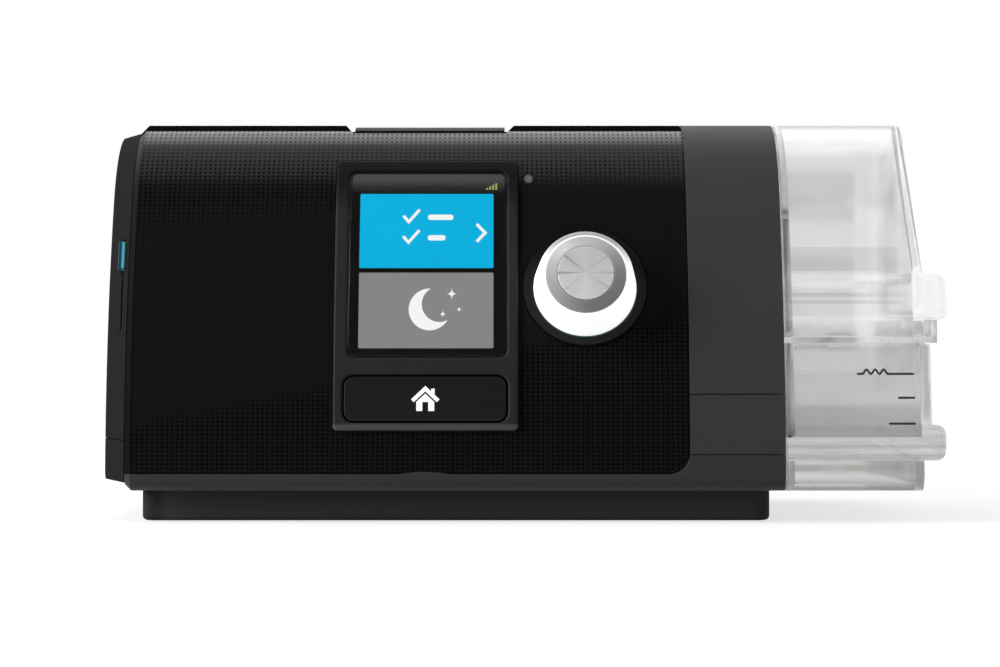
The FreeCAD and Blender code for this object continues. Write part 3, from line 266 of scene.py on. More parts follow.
def metalFinish(name, look):
    # brushed metal: noise drawn out along one axis
    look = {**plainMetal, **look}
    material, tree, shader = newMaterial(name)
    mapping = put(tree, "ShaderNodeMapping")
    mapping.inputs["Scale"].default_value = look["stretch"]
    tree.links.new(objectPlace(tree), mapping.inputs["Vector"])
    streak = noise(tree, mapping.outputs[0], look["streaks"], 3.0)
    colour = blendColours(tree, streak, rgb(look["dark"]), rgb(look["light"]))
    tree.links.new(colour, shader.inputs["Base Color"])
    rough, drift = look["roughness"], look["glossDrift"]
    tree.links.new(ramp(tree, streak, 0.2, 0.8, rough - drift, rough + drift), shader.inputs["Roughness"])
    shader.inputs["Metallic"].default_value = 1.0
    normal = roundedNormal(tree, look["edge"], streak, look["depth"])
    tree.links.new(normal, shader.inputs["Normal"])
    return material


plasticLooks = {
    "blackCover": {"colour": (0.005, 0.005, 0.005), "roughness": 0.8, "shine": 0.0, "edge": 0.4 * mm},
    "rearSatin": {"colour": (0.011, 0.0105, 0.0107), "roughness": 0.5, "shine": 0.2, "edge": 0.4 * mm},
    "startSatin": {"colour": (0.02, 0.02, 0.02), "roughness": 0.55, "shine": 0.1, "edge": 0.3 * mm},
    "bandSatin": {"colour": (0.070, 0.067, 0.068), "roughness": 0.5, "shine": 0.05, "edge": 0.4 * mm},
    "sideSatin": {"colour": (0.0105, 0.0094, 0.0097), "roughness": 0.7, "shine": 0.012, "edge": 0.4 * mm},
    # painted shade: the left ends of the lip and the tray are darker
    "lipSatin": {"colour": (0.058, 0.052, 0.0535), "roughness": 0.5, "shine": 0.15, "edge": 0.4 * mm,
                 "paintedLightEndBands": [(-1.0, -0.1008, 0.0004, (0.034, 0.031, 0.032))]},
    "traySatin": {"colour": (0.090, 0.079, 0.081), "roughness": 0.65, "shine": 0.05, "edge": 0.4 * mm,
                  "paintedLightEndBands": [(-1.0, -0.0962, 0.006, (0.03, 0.0265, 0.027))]},
    # painted shade darkens the bezel's top, a painted highlight pales its lower edge
    "bezelSatin": {"colour": (0.037, 0.035, 0.036), "roughness": 0.4, "shine": 0.05, "edge": 0.5 * mm,
                   "paintedLightBands": [(0.0900, 0.2, 0.012, (0.012, 0.0115, 0.012)),
                             (-1.0, 0.0248, 0.0009, (0.11, 0.107, 0.108))]},
    "homeSatin": {"colour": (0.016, 0.015, 0.0155), "roughness": 0.4, "shine": 0.2, "edge": 0.2 * mm},
    "dishBlack": {"colour": (0.008, 0.0072, 0.0075), "roughness": 0.5, "shine": 0.1, "edge": 0.2 * mm},
    "rubberMatt": {"colour": (0.022, 0.022, 0.023), "roughness": 0.8, "grain": 1800.0, "depth": 0.06 * mm},
    "boardGreen": {"colour": (0.012, 0.11, 0.045), "roughness": 0.4, "grain": 900.0},
    "componentBlack": {"colour": (0.02, 0.02, 0.021), "roughness": 0.55},
    "linerGrey": {"colour": (0.06, 0.06, 0.062), "roughness": 0.5},
    "bayGrey": {"colour": (0.5, 0.5, 0.5), "roughness": 0.5},
    "foilAmber": {"colour": (0.45, 0.2, 0.03), "roughness": 0.3, "grain": 500.0},
    "foamGrey": {"colour": (0.42, 0.42, 0.41), "roughness": 0.95, "grain": 700.0, "depth": 0.4 * mm,
                 "toneDrift": 0.5},
}
metalLooks = {
    "screwSteel": {"dark": (0.42, 0.42, 0.43), "light": (0.68, 0.68, 0.69), "roughness": 0.3},
    "heaterMetal": {"dark": (0.5, 0.5, 0.5), "light": (0.7, 0.7, 0.7), "roughness": 0.38},
    "motorMetal": {"dark": (0.4, 0.4, 0.42), "light": (0.6, 0.6, 0.62), "roughness": 0.34},
    "windingCopper": {"dark": (0.4, 0.14, 0.05), "light": (0.72, 0.33, 0.14), "roughness": 0.4,
                      "stretch": (1.0, 1.0, 30.0)},
}
finishes = {name: mouldedPlastic(name, look) for name, look in plasticLooks.items()}
finishes.update({name: metalFinish(name, look) for name, look in metalLooks.items()})

# The front is two tangent arcs: a tall one up the face, a small one over the crest
front = {"radius": 181 * mm, "lean": math.radians(4), "foot": -75 * mm, "lip": 12.8 * mm,
         "rollDrop": 19.65 * mm}
topHeight = cadHigh.z
faceY = front["foot"] + front["radius"] * math.cos(front["lean"])
faceZ = front["lip"] - front["radius"] * math.sin(front["lean"])
rollLean = math.asin((topHeight - front["rollDrop"] - faceZ) / front["radius"])
crestRadius = front["rollDrop"] / (1 - math.sin(rollLean))
crestZ = topHeight - crestRadius
crestY = faceY - (front["radius"] - crestRadius) * math.cos(rollLean)


def skinY(z, inset):
    # circle of the face below the roll line, circle of the crest above it, both drawn in by inset
    z = np.asarray(z, float)
    face = front["radius"] - inset
    crest = crestRadius - inset
    low = faceY - np.sqrt(np.maximum(face ** 2 - (z - faceZ) ** 2, 0))
    high = crestY - np.sqrt(np.maximum(crest ** 2 - (z - crestZ) ** 2, 0))
    return np.where(z <= faceZ + face * math.sin(rollLean), low, high)


def onSkin(x, z, inset):
    x, z = np.broadcast_arrays(np.asarray(x, float), np.asarray(z, float))
    return np.stack([x, skinY(z, inset), z], axis=-1)


# Mesh builders
weld = 1e-7      # points nearer than this are one


def meshPiece(name, points, faces, body, material, uv=None):
    # a welded mesh with its faces outwards, riding on a body
    mesh = bpy.data.meshes.new(name)
    mesh.from_pydata(points.reshape(-1, 3).tolist(), [], faces.tolist())
    if uv is not None:
        corners = np.zeros(len(mesh.loops), int)
        mesh.loops.foreach_get("vertex_index", corners)
        layer = mesh.uv_layers.new(name="turning")
        layer.data.foreach_set("uv", uv.reshape(-1, 2)[corners].astype(np.float32).ravel())
    work = bmesh.new()
    work.from_mesh(mesh)
    bmesh.ops.remove_doubles(work, verts=work.verts, dist=weld)
    bmesh.ops.dissolve_degenerate(work, edges=work.edges, dist=weld)
    bmesh.ops.recalc_face_normals(work, faces=work.faces)
    work.to_mesh(mesh)
    work.free()
    mesh.update()
    piece = bpy.data.objects.new(name, mesh)
    bpy.context.scene.collection.objects.link(piece)
    mesh.materials.append(material)
    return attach(piece, body)


def gridFaces(rows, columns, start=0):
    # quads of a rows x columns grid
    row, column = np.meshgrid(np.arange(rows - 1), np.arange(columns - 1), indexing="ij")
    corner = row * columns + column
    quads = [corner, corner + 1, corner + columns + 1, corner + columns]
    return start + np.stack(quads, axis=-1).reshape(-1, 4)


def slab(name, outer, inner, body, material):
    # closed plate between two grids of the same shape: both faces, and a wall along the border
    rows, columns = outer.shape[:2]
    index = np.arange(rows * columns).reshape(rows, columns)
    border = np.concatenate([index[0], index[1:, -1], index[-1, -2::-1], index[-2:0:-1, 0]])
    count = rows * columns
    following = np.roll(border, -1)
    wall = np.stack([border, following, following + count, border + count], axis=-1)
    faces = np.concatenate([gridFaces(rows, columns), gridFaces(rows, columns, count)[:, ::-1], wall])
    points = np.concatenate([outer.reshape(-1, 3), inner.reshape(-1, 3)])
    return meshPiece(name, points, faces, body, material)


def plateOnSkin(name, edges, inset, thickness, body, material, rows=7):
    # plate on the curved front between two edge lines of (x, z) points: (1 - share) * low + share * high
    low, high = np.asarray(edges, float)
    share = np.linspace(0, 1, rows)[:, None, None]
    flat = (1 - share) * low[None] + share * high[None]
    outer = onSkin(flat[..., 0], flat[..., 1], inset)
    inner = onSkin(flat[..., 0], flat[..., 1], inset + thickness)
    return slab(name, outer, inner, body, material)


def roundedBar(x0, x1, z0, z1, radius, steps=8):
    # lower and upper edge of a rounded rectangle, as two lines over the same run of x
    turn = np.linspace(0, math.pi / 2, steps)
    left = x0 + radius * (1 - np.cos(turn))
    x = np.concatenate([left, (x0 + x1 - left)[::-1]])
    drop = radius * (1 - np.sin(turn))
    drop = np.concatenate([drop, drop[::-1]])
    return np.stack([x, z0 + drop], axis=-1), np.stack([x, z1 - drop], axis=-1)


def stroke(points, width):
    # both edges of a bent line of even width, mitred at its corners
    points = np.asarray(points, float)
    step = np.diff(points, axis=0)
    step /= np.linalg.norm(step, axis=1)[:, None]
    before = np.concatenate([step[:1], step])
    after = np.concatenate([step, step[-1:]])
    along = before + after
    along /= np.linalg.norm(along, axis=1)[:, None]
    across = np.stack([-along[:, 1], along[:, 0]], axis=-1)
    reach = width / 2 / np.maximum(np.sum(along * before, axis=1), 0.3)
    return points - across * reach[:, None], points + across * reach[:, None]


def turnedPiece(name, outline, axis, body, material, segments=144):
    # closed outline of (radius, depth) points carried round the axis
    # UV runs round the axis and along the outline
    outline = np.asarray(outline, float)
    angle = np.linspace(0, 2 * math.pi, segments + 1)
    radius, depth = outline[:, 0, None], outline[:, 1, None]
    points = (axis["at"] + radius[..., None] * (np.cos(angle)[None, :, None] * axis["right"]
              + np.sin(angle)[None, :, None] * axis["up"]) + depth[..., None] * axis["inward"])
    closed = np.concatenate([points, points[:1]])
    faces = gridFaces(len(closed), segments + 1)
    run = np.linspace(0, 1, len(closed))
    uv = np.stack(np.broadcast_arrays(angle[None, :] / (2 * math.pi), run[:, None]), axis=-1)
    return meshPiece(name, closed, faces, body, material, uv)


def roundedOutline(corners, steps=7):
    # polygon of (radius, depth, rounding) corners, each corner cut by a tangent arc
    corners = np.asarray(corners, float)
    parts = []
    for number, (radius, depth, rounding) in enumerate(corners):
        here = np.array([radius, depth])
        if rounding == 0:
            parts.append(here[None])
            continue
        toLast = corners[number - 1, :2] - here
        toNext = corners[(number + 1) % len(corners), :2] - here
        toLast /= np.linalg.norm(toLast)
        toNext /= np.linalg.norm(toNext)
        half = math.acos(np.clip(toLast @ toNext, -1, 1)) / 2
        bisector = (toLast + toNext) / np.linalg.norm(toLast + toNext)
        centre = here + bisector * rounding / math.sin(half)
        begin = here + toLast * rounding / math.tan(half) - centre
        end = here + toNext * rounding / math.tan(half) - centre
        share = np.linspace(0, 1, steps)[:, None]
        arc = (1 - share) * begin + share * end
        parts.append(centre + rounding * arc / np.linalg.norm(arc, axis=1)[:, None])
    return np.concatenate(parts)


# Glossy front panel with its grid of fine pits
panelLook = {"colour": (0.0115, 0.0108, 0.0108), "pitShadeColour": (0.001, 0.001, 0.001), "roughness": 0.12,
             "pitRoughness": 0.5, "across": 1.28 * mm, "up": 1.08 * mm, "pitRadius": 0.3 * mm,
             "pitEdge": 0.1 * mm, "shine": 0.22, "smudge": 22.0, "endX": -100.3 * mm, "endSoft": 0.15 * mm,
             "calmShare": 0.85, "calmLow": (43.0 * mm, 46.0 * mm, 0.2),
             "calmHigh": (83.0 * mm, 92.0 * mm, 0.09)}


def nearestLine(tree, along, pitch):
    # distance from the nearest line of an even ruling: pingpong(along / pitch) * pitch
    turns = maths(tree, "DIVIDE", along, pitch)
    return maths(tree, "MULTIPLY", maths(tree, "PINGPONG", turns, 0.5), pitch)


def glossPanel():
    look = panelLook
    material, tree, shader = newMaterial("glossPanel")
    place = objectPlace(tree)
    x, _, z = split(tree, place)
    # distance from the nearest crossing of a grid that is even seen from the front
    away = hypotenuse(tree, nearestLine(tree, x, look["across"]), nearestLine(tree, z, look["up"]))
    land = ramp(tree, away, look["pitRadius"] - look["pitEdge"], look["pitRadius"] + look["pitEdge"])
    # across the middle the pits fade out, from calmLow to calmHigh, each (from, to, slope): the fade is
    # painted, standing in for a reflection that hides them there
    calm = look["calmShare"]
    for (start, end, slope), first, last in ((look["calmLow"], 0.0, 1.0), (look["calmHigh"], 1.0, 0.0)):
        level = maths(tree, "SUBTRACT", z, maths(tree, "MULTIPLY", x, slope))
        calm = maths(tree, "MULTIPLY", ramp(tree, level, start, end, first, last), calm)
    land = maths(tree, "MAXIMUM", land, calm)
    # painted shade: the bevel at the panel's left end is as black as the pits, which takes away its
    # highlight
    face = ramp(tree, x, look["endX"] - look["endSoft"], look["endX"] + look["endSoft"])
    land = maths(tree, "MULTIPLY", land, face)
    smudge = noise(tree, place, look["smudge"], 4.0)
    gloss = ramp(tree, smudge, 0.3, 0.75, look["roughness"] - 0.03, look["roughness"] + 0.05)
    mixed = put(tree, "ShaderNodeMix", data_type="FLOAT")
    tree.links.new(land, mixed.inputs[0])
    mixed.inputs[2].default_value = look["pitRoughness"]
    tree.links.new(gloss, mixed.inputs[3])
    tree.links.new(mixed.outputs[0], shader.inputs["Roughness"])
    colour = blendColours(tree, land, rgb(look["pitShadeColour"]), rgb(look["colour"]))
    tree.links.new(colour, shader.inputs["Base Color"])
    # painted shade: a pit is a small trap for light, so it is a metal of almost no colour that sends
    # nothing back
    tree.links.new(maths(tree, "SUBTRACT", 1.0, land), shader.inputs["Metallic"])
    shader.inputs["Specular IOR Level"].default_value = look["shine"]
    return material


finishes["glossPanel"] = glossPanel()


# Light sensor: a pale eye in a black ring
sensorLook = {"middle": (1.6 * mm, 89.0 * mm), "eye": 1.0 * mm, "soft": 0.25 * mm,
              "pale": (0.15, 0.15, 0.15), "black": (0.002, 0.002, 0.002), "roughness": 0.25}


def sensorEye():
    look = sensorLook
    material, tree, shader = newMaterial("sensorEye")
    x, _, z = split(tree, objectPlace(tree))
    across = maths(tree, "SUBTRACT", x, look["middle"][0])
    up = maths(tree, "SUBTRACT", z, look["middle"][1])
    ring = ramp(tree, hypotenuse(tree, across, up), look["eye"] - look["soft"], look["eye"] + look["soft"])
    colour = blendColours(tree, ring, rgb(look["pale"]), rgb(look["black"]))
    tree.links.new(colour, shader.inputs["Base Color"])
    shader.inputs["Roughness"].default_value = look["roughness"]
    return material


finishes["sensorEye"] = sensorEye()


# Memory card: dark blue, with a painted highlight, a pale stripe down the front of its grip
cardLook = {"highlightX": -104.55 * mm, "half": 0.2 * mm, "soft": 0.3 * mm, "pale": (0.11, 0.58, 0.70),
            "blue": (0.008, 0.07, 0.12), "roughness": 0.35, "edge": 0.3 * mm}


def cardGrip():
    look = cardLook
    material, tree, shader = newMaterial("cardGrip")
    x = split(tree, objectPlace(tree))[0]
    away = maths(tree, "ABSOLUTE", maths(tree, "SUBTRACT", x, look["highlightX"]))
    side = ramp(tree, away, look["half"], look["half"] + look["soft"])
    colour = blendColours(tree, side, rgb(look["pale"]), rgb(look["blue"]))
    tree.links.new(colour, shader.inputs["Base Color"])
    shader.inputs["Roughness"].default_value = look["roughness"]
    tree.links.new(roundedNormal(tree, look["edge"]), shader.inputs["Normal"])
    return material


finishes["cardGrip"] = cardGrip()


# Card flap: as dark as the side it closes, with painted shade: black on the edge that looks forward into
# the slit
flapLook = {"face": (0.0105, 0.0094, 0.0097), "edge": (0.001, 0.001, 0.001), "forward": (-0.9, -0.6),
            "roughness": 0.7, "shine": 0.012}


def flapEdgeShade():
    look = flapLook
    material, tree, shader = newMaterial("flapEdgeShade")
    facing = put(tree, "ShaderNodeNewGeometry").outputs["True Normal"]
    side = ramp(tree, split(tree, facing)[1], *look["forward"])
    colour = blendColours(tree, side, rgb(look["edge"]), rgb(look["face"]))
    tree.links.new(colour, shader.inputs["Base Color"])
    shader.inputs["Roughness"].default_value = look["roughness"]
    shader.inputs["Specular IOR Level"].default_value = look["shine"]
    return material


finishes["flapEdgeShade"] = flapEdgeShade()


# Clear plastics: screen lens, tub, seal, latch, water
# What a look leaves out is in plainClear
plainClear = {"clear": 1.0, "hazeDrift": 0.1, "paintedEdgeGlow": 0.0,
              "paintedLightBands": [], "paintedShadeDepthBands": [], "paintedLightEndBands": []}


def clearPlastic(name, look):
    look = {**plainClear, **look}
    material, tree, shader = newMaterial(name)
    waves = useGroup(tree, mouldWaves, Wave=look["wave"], Haze=look["haze"], Haze_Drift=look["hazeDrift"])
    colour = blendColours(tree, waves["Cloud"], rgb(look["colour"], look["cloud"]), rgb(look["colour"]))
    # bands of painted shade and painted highlight: darker where ribs, steps and thick walls would shade the
    # light, paler lines where ledges would catch it
    colour = banded(tree, colour, look["paintedShadeDepthBands"], 1)
    colour = banded(tree, colour, look["paintedLightBands"])
    colour = banded(tree, colour, look["paintedLightEndBands"], 0)
    tree.links.new(colour, shader.inputs["Base Color"])
    tree.links.new(waves["Roughness"], shader.inputs["Roughness"])
    shader.inputs["Transmission Weight"].default_value = look["clear"]
    shader.inputs["IOR"].default_value = look["ior"]
    if look["paintedEdgeGlow"]:
        # painted highlight: a glow where clear walls are seen along their length, standing in for the light
        # they gather
        facing = put(tree, "ShaderNodeLayerWeight").outputs["Facing"]
        glow = maths(tree, "MULTIPLY", maths(tree, "POWER", facing, 4.0), look["paintedEdgeGlow"])
        tree.links.new(glow, shader.inputs["Emission Color"])
        shader.inputs["Emission Strength"].default_value = 1.0
    normal = roundedNormal(tree, look["edge"], waves["Height"], look["waveDepth"])
    tree.links.new(normal, shader.inputs["Normal"])
    return material


clearLooks = {
    # tub lid and base: bands of painted shade and painted highlight, a painted paler right end on the lid,
    # and a painted glow along walls seen edge on
    "lidClear": {"colour": (0.95, 0.948, 0.947), "cloud": 0.79, "ior": 1.12, "wave": 15.0, "haze": 0.14,
                 "edge": 0.6 * mm, "waveDepth": 0.4 * mm, "clear": 0.94, "paintedEdgeGlow": 0.09,
                 "paintedLightBands": [(0.0720, 0.0790, 0.004, (0.89, 0.888, 0.884)),
                           (0.0870, 0.0940, 0.004, (0.80, 0.797, 0.798)),
                           (0.0985, 0.2, 0.004, (1, 1, 1)), (0.0648, 0.0707, 0.0003, (0.77, 0.768, 0.768)),
                           (0.0621, 0.0636, 0.0003, (1, 1, 1)), (0.0519, 0.0530, 0.0003, (1, 1, 1)),
                           (0.0580, 0.0588, 0.0003, (0.78, 0.778, 0.777)),
                           (0.0562, 0.0569, 0.0003, (0.78, 0.778, 0.777))],
                 "paintedShadeDepthBands": [(0.0, 0.044, 0.010, (0.72, 0.718, 0.717))],
                 "paintedLightEndBands": [(0.0985, 1.0, 0.002, (0.96, 0.959, 0.958))]},
    "baseClear": {"colour": (0.94, 0.939, 0.935), "cloud": 0.94, "ior": 1.12, "wave": 26.0, "haze": 0.14,
                  "edge": 0.6 * mm, "waveDepth": 0.4 * mm, "clear": 0.9, "paintedEdgeGlow": 0.085,
                  "paintedLightBands": [(-1.0, 0.0243, 0.0019, (0.66, 0.655, 0.645)),
                            (0.0384, 0.0450, 0.0003, (0.83, 0.828, 0.824)),
                            (0.0193, 0.0200, 0.0003, (0.45, 0.445, 0.44)),
                            (0.0166, 0.0176, 0.0003, (0.45, 0.445, 0.44))]},
    "latchClear": {"colour": (0.85, 0.85, 0.85), "cloud": 0.94, "ior": 1.2, "wave": 60.0, "haze": 0.2,
                   "edge": 0.3 * mm, "waveDepth": 0.4 * mm},
    "sealClear": {"colour": (0.95, 0.95, 0.95), "cloud": 0.96, "ior": 1.12, "wave": 60.0, "haze": 0.3,
                  "edge": 0.2 * mm, "waveDepth": 0.2 * mm, "paintedEdgeGlow": 0.3},
    "screenGlass": {"colour": (0.97, 0.97, 0.975), "cloud": 0.99, "ior": 1.3, "wave": 12.0, "haze": 0.03,
                    "hazeDrift": 0.02, "edge": 0.2 * mm, "waveDepth": 0.02 * mm},
    "tubWater": {"colour": (0.73, 0.735, 0.73), "cloud": 0.98, "ior": 1.14, "wave": 18.0, "haze": 0.03,
                 "hazeDrift": 0.02, "edge": 0.4 * mm, "waveDepth": 0.2 * mm},
}
finishes.update({name: clearPlastic(name, look) for name, look in clearLooks.items()})


# The dial's own axis
turnJoint = next(joint for joint in frame["joints"] if joint["name"] == "dial_turn")
inward = np.array(turnJoint["axis"], float)
inward /= np.linalg.norm(inward)
dialAxis = {"at": np.array(turnJoint["pos_m"], float), "inward": inward,
            "right": np.array([1.0, 0.0, 0.0])}
dialAxis["up"] = np.cross(dialAxis["right"], inward)


# Lit surfaces: dial skirt and what the screen shows
# What a look leaves out is in plainLit
plainLit = {"patch": 60.0, "fall": 0.94, "bodyFall": 0.9, "strength": 1.0, "roughness": 0.35, "shine": 0.0,
            "paintedLightBands": [], "paintedShadeBodyBands": []}


def litSurface(name, look):
    # light from within, falling off a little in soft patches
    look = {**plainLit, **look}
    material, tree, shader = newMaterial(name)
    place = objectPlace(tree)
    patch = noise(tree, place, look["patch"], 2.0)
    colour = blendColours(tree, patch, rgb(look["light"], look["fall"]), rgb(look["light"]))
    # bands of painted shade and painted highlight over the light
    colour = banded(tree, colour, look["paintedLightBands"])
    if "rim" in look:
        # painted shade: only a narrow ring round the metal rim stays at full light, the rest of the skirt's
        # top is darkened: radius = |(place - at) x inward|
        offset = put(tree, "ShaderNodeVectorMath", operation="SUBTRACT")
        tree.links.new(place, offset.inputs[0])
        offset.inputs[1].default_value = tuple(dialAxis["at"])
        cross = put(tree, "ShaderNodeVectorMath", operation="CROSS_PRODUCT")
        tree.links.new(offset.outputs[0], cross.inputs[0])
        cross.inputs[1].default_value = tuple(dialAxis["inward"])
        radius = put(tree, "ShaderNodeVectorMath", operation="LENGTH")
        tree.links.new(cross.outputs[0], radius.inputs[0])
        share = ramp(tree, radius.outputs["Value"], *look["rim"])
        colour = blendColours(tree, share, rgb(look["light"]), colour)
    tree.links.new(colour, shader.inputs["Emission Color"])
    shader.inputs["Emission Strength"].default_value = look["strength"]
    body = blendColours(tree, patch, rgb(look["body"], look["bodyFall"]), rgb(look["body"]))
    tree.links.new(banded(tree, body, look["paintedShadeBodyBands"]), shader.inputs["Base Color"])
    shader.inputs["Roughness"].default_value = look["roughness"]
    shader.inputs["Specular IOR Level"].default_value = look["shine"]
    return material


litLooks = {
    # dial skirt: glows from within, with its top painted darker as painted shade, and only the ring at the
    # metal rim left at full light
    "skirtLight": {"light": (1.0, 1.0, 1.0), "body": (0.8, 0.8, 0.8), "strength": 0.85, "shine": 0.5,
                   "paintedLightBands": [(0.0735, 0.2, 0.010, (0.12, 0.12, 0.12))], "rim": (0.0108, 0.0112),
                   "paintedShadeBodyBands": [(0.0735, 0.2, 0.010, (0.3, 0.3, 0.3))]},
    "screenBlack": {"light": (0.003, 0.003, 0.0035), "body": (0.004, 0.004, 0.004)},
    # painted reflection: the strip across the top of the screen is paler, palest at its top
    "screenHeadReflection": {"light": (0.012, 0.0115, 0.0115), "body": (0.01, 0.01, 0.01),
                   "paintedLightBands": [(0.0892, 0.2, 0.0038, (0.06, 0.058, 0.058))]},
    "screenBlue": {"light": (0.002, 0.462, 0.783), "body": (0.002, 0.02, 0.03)},
    "screenGrey": {"light": (0.255, 0.245, 0.25), "body": (0.02, 0.02, 0.02)},
    "screenWhite": {"light": (0.95, 0.97, 0.97), "body": (0.05, 0.05, 0.05)},
    "screenGreen": {"light": (0.32, 0.42, 0.10), "body": (0.03, 0.03, 0.02)},
    # the house sign is white print given a painted glow
    "iconWhite": {"light": (0.85, 0.85, 0.85), "body": (0.75, 0.75, 0.75), "strength": 0.8},
}
finishes.update({name: litSurface(name, look) for name, look in litLooks.items()})


# Spun metal of the dial: fine rings, with the shine spread across them
rayShadeTone = (0.12, 0.12, 0.12)
spunLooks = {
    # painted shade: the rim's two broad streaks darken its lower side, the cap's are a broad shade over its
    # top and thin dark rays
    "spunRim": {"dark": (0.58, 0.585, 0.59), "light": (0.76, 0.765, 0.77), "roughness": 0.4, "rings": 420.0,
                "glossDrift": 0.06, "metal": 0.2, "spread": 0.8,
                "streaks": [(0.86, 0.37, 0.55), (0.67, 0.26, 0.42)]},
    "spunCap": {"dark": (0.97, 0.97, 0.975), "light": (1.0, 1.0, 1.0), "roughness": 0.38, "rings": 420.0,
                "glossDrift": 0.06, "metal": 0.15, "spread": 0.8,
                "streaks": [(0.30, 0.3, 0.16), (0.50, 0.014, 0.55), (0.385, 0.016, 0.45), (0.0, 0.012, 0.3),
                            (0.11, 0.014, 0.2), (0.61, 0.014, 0.2), (0.90, 0.014, 0.22)]},
}


def spunMetal(name, look):
    # each streak is (share of a turn, half width, depth): a dark ray of painted shade on the turned face,
    # turning with it
    material, tree, shader = newMaterial(name)
    place = put(tree, "ShaderNodeTexCoord").outputs["UV"]
    mapping = put(tree, "ShaderNodeMapping")
    mapping.inputs["Scale"].default_value = (2.0, look["rings"], 1.0)
    tree.links.new(place, mapping.inputs["Vector"])
    ring = noise(tree, mapping.outputs[0], 1.0, 2.0)
    colour = blendColours(tree, ring, rgb(look["dark"]), rgb(look["light"]))
    turned = split(tree, place)[0]
    for turn, half, depth in look["streaks"]:
        away = maths(tree, "PINGPONG", maths(tree, "SUBTRACT", turned, turn), 0.5)
        share = ramp(tree, away, 0.0, half, depth, 0.0)
        colour = blendColours(tree, share, colour, rgb(rayShadeTone))
    tree.links.new(colour, shader.inputs["Base Color"])
    rough, drift = look["roughness"], look["glossDrift"]
    tree.links.new(ramp(tree, ring, 0.2, 0.8, rough - drift, rough + drift), shader.inputs["Roughness"])
    shader.inputs["Metallic"].default_value = look["metal"]
    shader.inputs["Anisotropic"].default_value = look["spread"]
    tangent = put(tree, "ShaderNodeTangent", direction_type="UV_MAP", uv_map="turning")
    tree.links.new(tangent.outputs[0], shader.inputs["Tangent"])
    return material


finishes.update({name: spunMetal(name, look) for name, look in spunLooks.items()})
print("finishes made:", len(finishes))

# Finish of every CAD node
painted = {
    "glossPanel": ["front_panel"],
    "blackCover": ["top_cover"],
    "rearSatin": ["rear_cover"],
    "startSatin": ["start_button"],
    "bandSatin": ["band_cover", "band_plate", "filter_cover"],
    "sideSatin": ["side_cover", "side_lower_trim"],
    "flapEdgeShade": ["card_flap"],
    "lipSatin": ["lower_housing"],
    "traySatin": ["base_tray"],
    "bezelSatin": ["screen_bezel"],
    "homeSatin": ["home_button"],
    "dishBlack": ["dial_dish"],
    "rubberMatt": ["rubber_feet", "port_seals", "blower_mounts"],
    "sealClear": ["tub_seal"],
    "screwSteel": ["tray_screws", "board_screws", "encoder_shaft", "motor_shaft", "motor_bearings",
                   "tub_plate", "tub_hinge_pin", "power_pin"],
    "screenGlass": ["screen_lens"],
    "sensorEye": ["light_sensor_lens"],
    "screenBlack": ["display_panel"],
    "skirtLight": ["dial_skirt"],
    "spunRim": ["dial_rim"],
    "spunCap": ["dial_cap"],
    "boardGreen": ["main_board", "start_board", "card_board", "dial_light_board"],
    "componentBlack": ["home_switch", "start_switch", "dial_encoder", "card_reader", "power_inlet"],
    "cardGrip": ["memory_card"],
    "baseClear": ["tub_base"],
    "lidClear": ["tub_lid"],
    "latchClear": ["tub_latch"],
    "bayGrey": ["tub_bay"],
    "linerGrey": ["air_outlet", "outlet_elbow", "volute_lower", "volute_upper", "impeller"],
    "heaterMetal": ["heater_plate"],
    "foilAmber": ["heater_foil"],
    "foamGrey": ["heater_insulation", "air_filter", "intake_silencer"],
    "motorMetal": ["motor_can"],
    "windingCopper": ["motor_stator", "motor_magnet"],
}
for finish, names in painted.items():
    for name in names:
        for slot in nodes[name].material_slots:
            slot.material = finishes[finish]
missed = sorted(set(nodes) - {name for names in painted.values() for name in names})
print("nodes painted, left out:", missed)

# Dial rim and cap: turned with rounded edges on the dial's own axis
dial = {"rimRadius": 10.4 * mm, "seat": -8.6 * mm, "face": -10.2 * mm, "drop": 1.0 * mm, "edge": 0.3 * mm,
        "capRadius": 7.3 * mm, "capSeat": 1.0 * mm, "gap": 0.05 * mm, "capProud": 0.3 * mm,
        "capRim": 0.05 * mm, "footEdge": 0.1 * mm, "lipEdge": 0.2 * mm}


def makeDial():
    seatDepth = dial["face"] + dial["capSeat"]
    rim = roundedOutline([
        (0, dial["seat"], 0),
        (dial["rimRadius"], dial["seat"], dial["footEdge"]),
        (dial["rimRadius"], dial["face"] + dial["drop"], dial["edge"]),
        (dial["capRadius"], dial["face"], dial["lipEdge"]),
        (dial["capRadius"], seatDepth, dial["footEdge"]),
        (0, seatDepth, 0)])
    piece = turnedPiece("dialRimSpun", rim, dialAxis, "dial", finishes["spunRim"])
    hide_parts("dial_rim")
    capRadius = dial["capRadius"] - dial["gap"]
    cap = roundedOutline([
        (0, seatDepth, 0),
        (capRadius, seatDepth, dial["footEdge"]),
        (capRadius, dial["face"] - dial["capRim"], dial["lipEdge"]),
        (0, dial["face"] - dial["capProud"], 0)])
    piece = turnedPiece("dialCapSpun", cap, dialAxis, "dial", finishes["spunCap"])
    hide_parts("dial_cap")


makeDial()
print("dial turned")

# Screen: black back, two lit tiles, plain signs and signal bars, all behind the lens
screen = {"backInset": 0.92 * mm, "tileInset": 0.88 * mm, "signInset": 0.84 * mm, "sheet": 0.03 * mm,
          "x0": -42.3 * mm, "x1": -7.55 * mm, "blue": (65.3 * mm, 84.8 * mm),
          "grey": (44.6 * mm, 64.1 * mm), "corner": 0.3 * mm, "backRim": 0.1 * mm, "backCorner": 2.9 * mm,
          "headFoot": 85.1 * mm, "headRim": 0.5 * mm, "headCorner": 1.3 * mm}
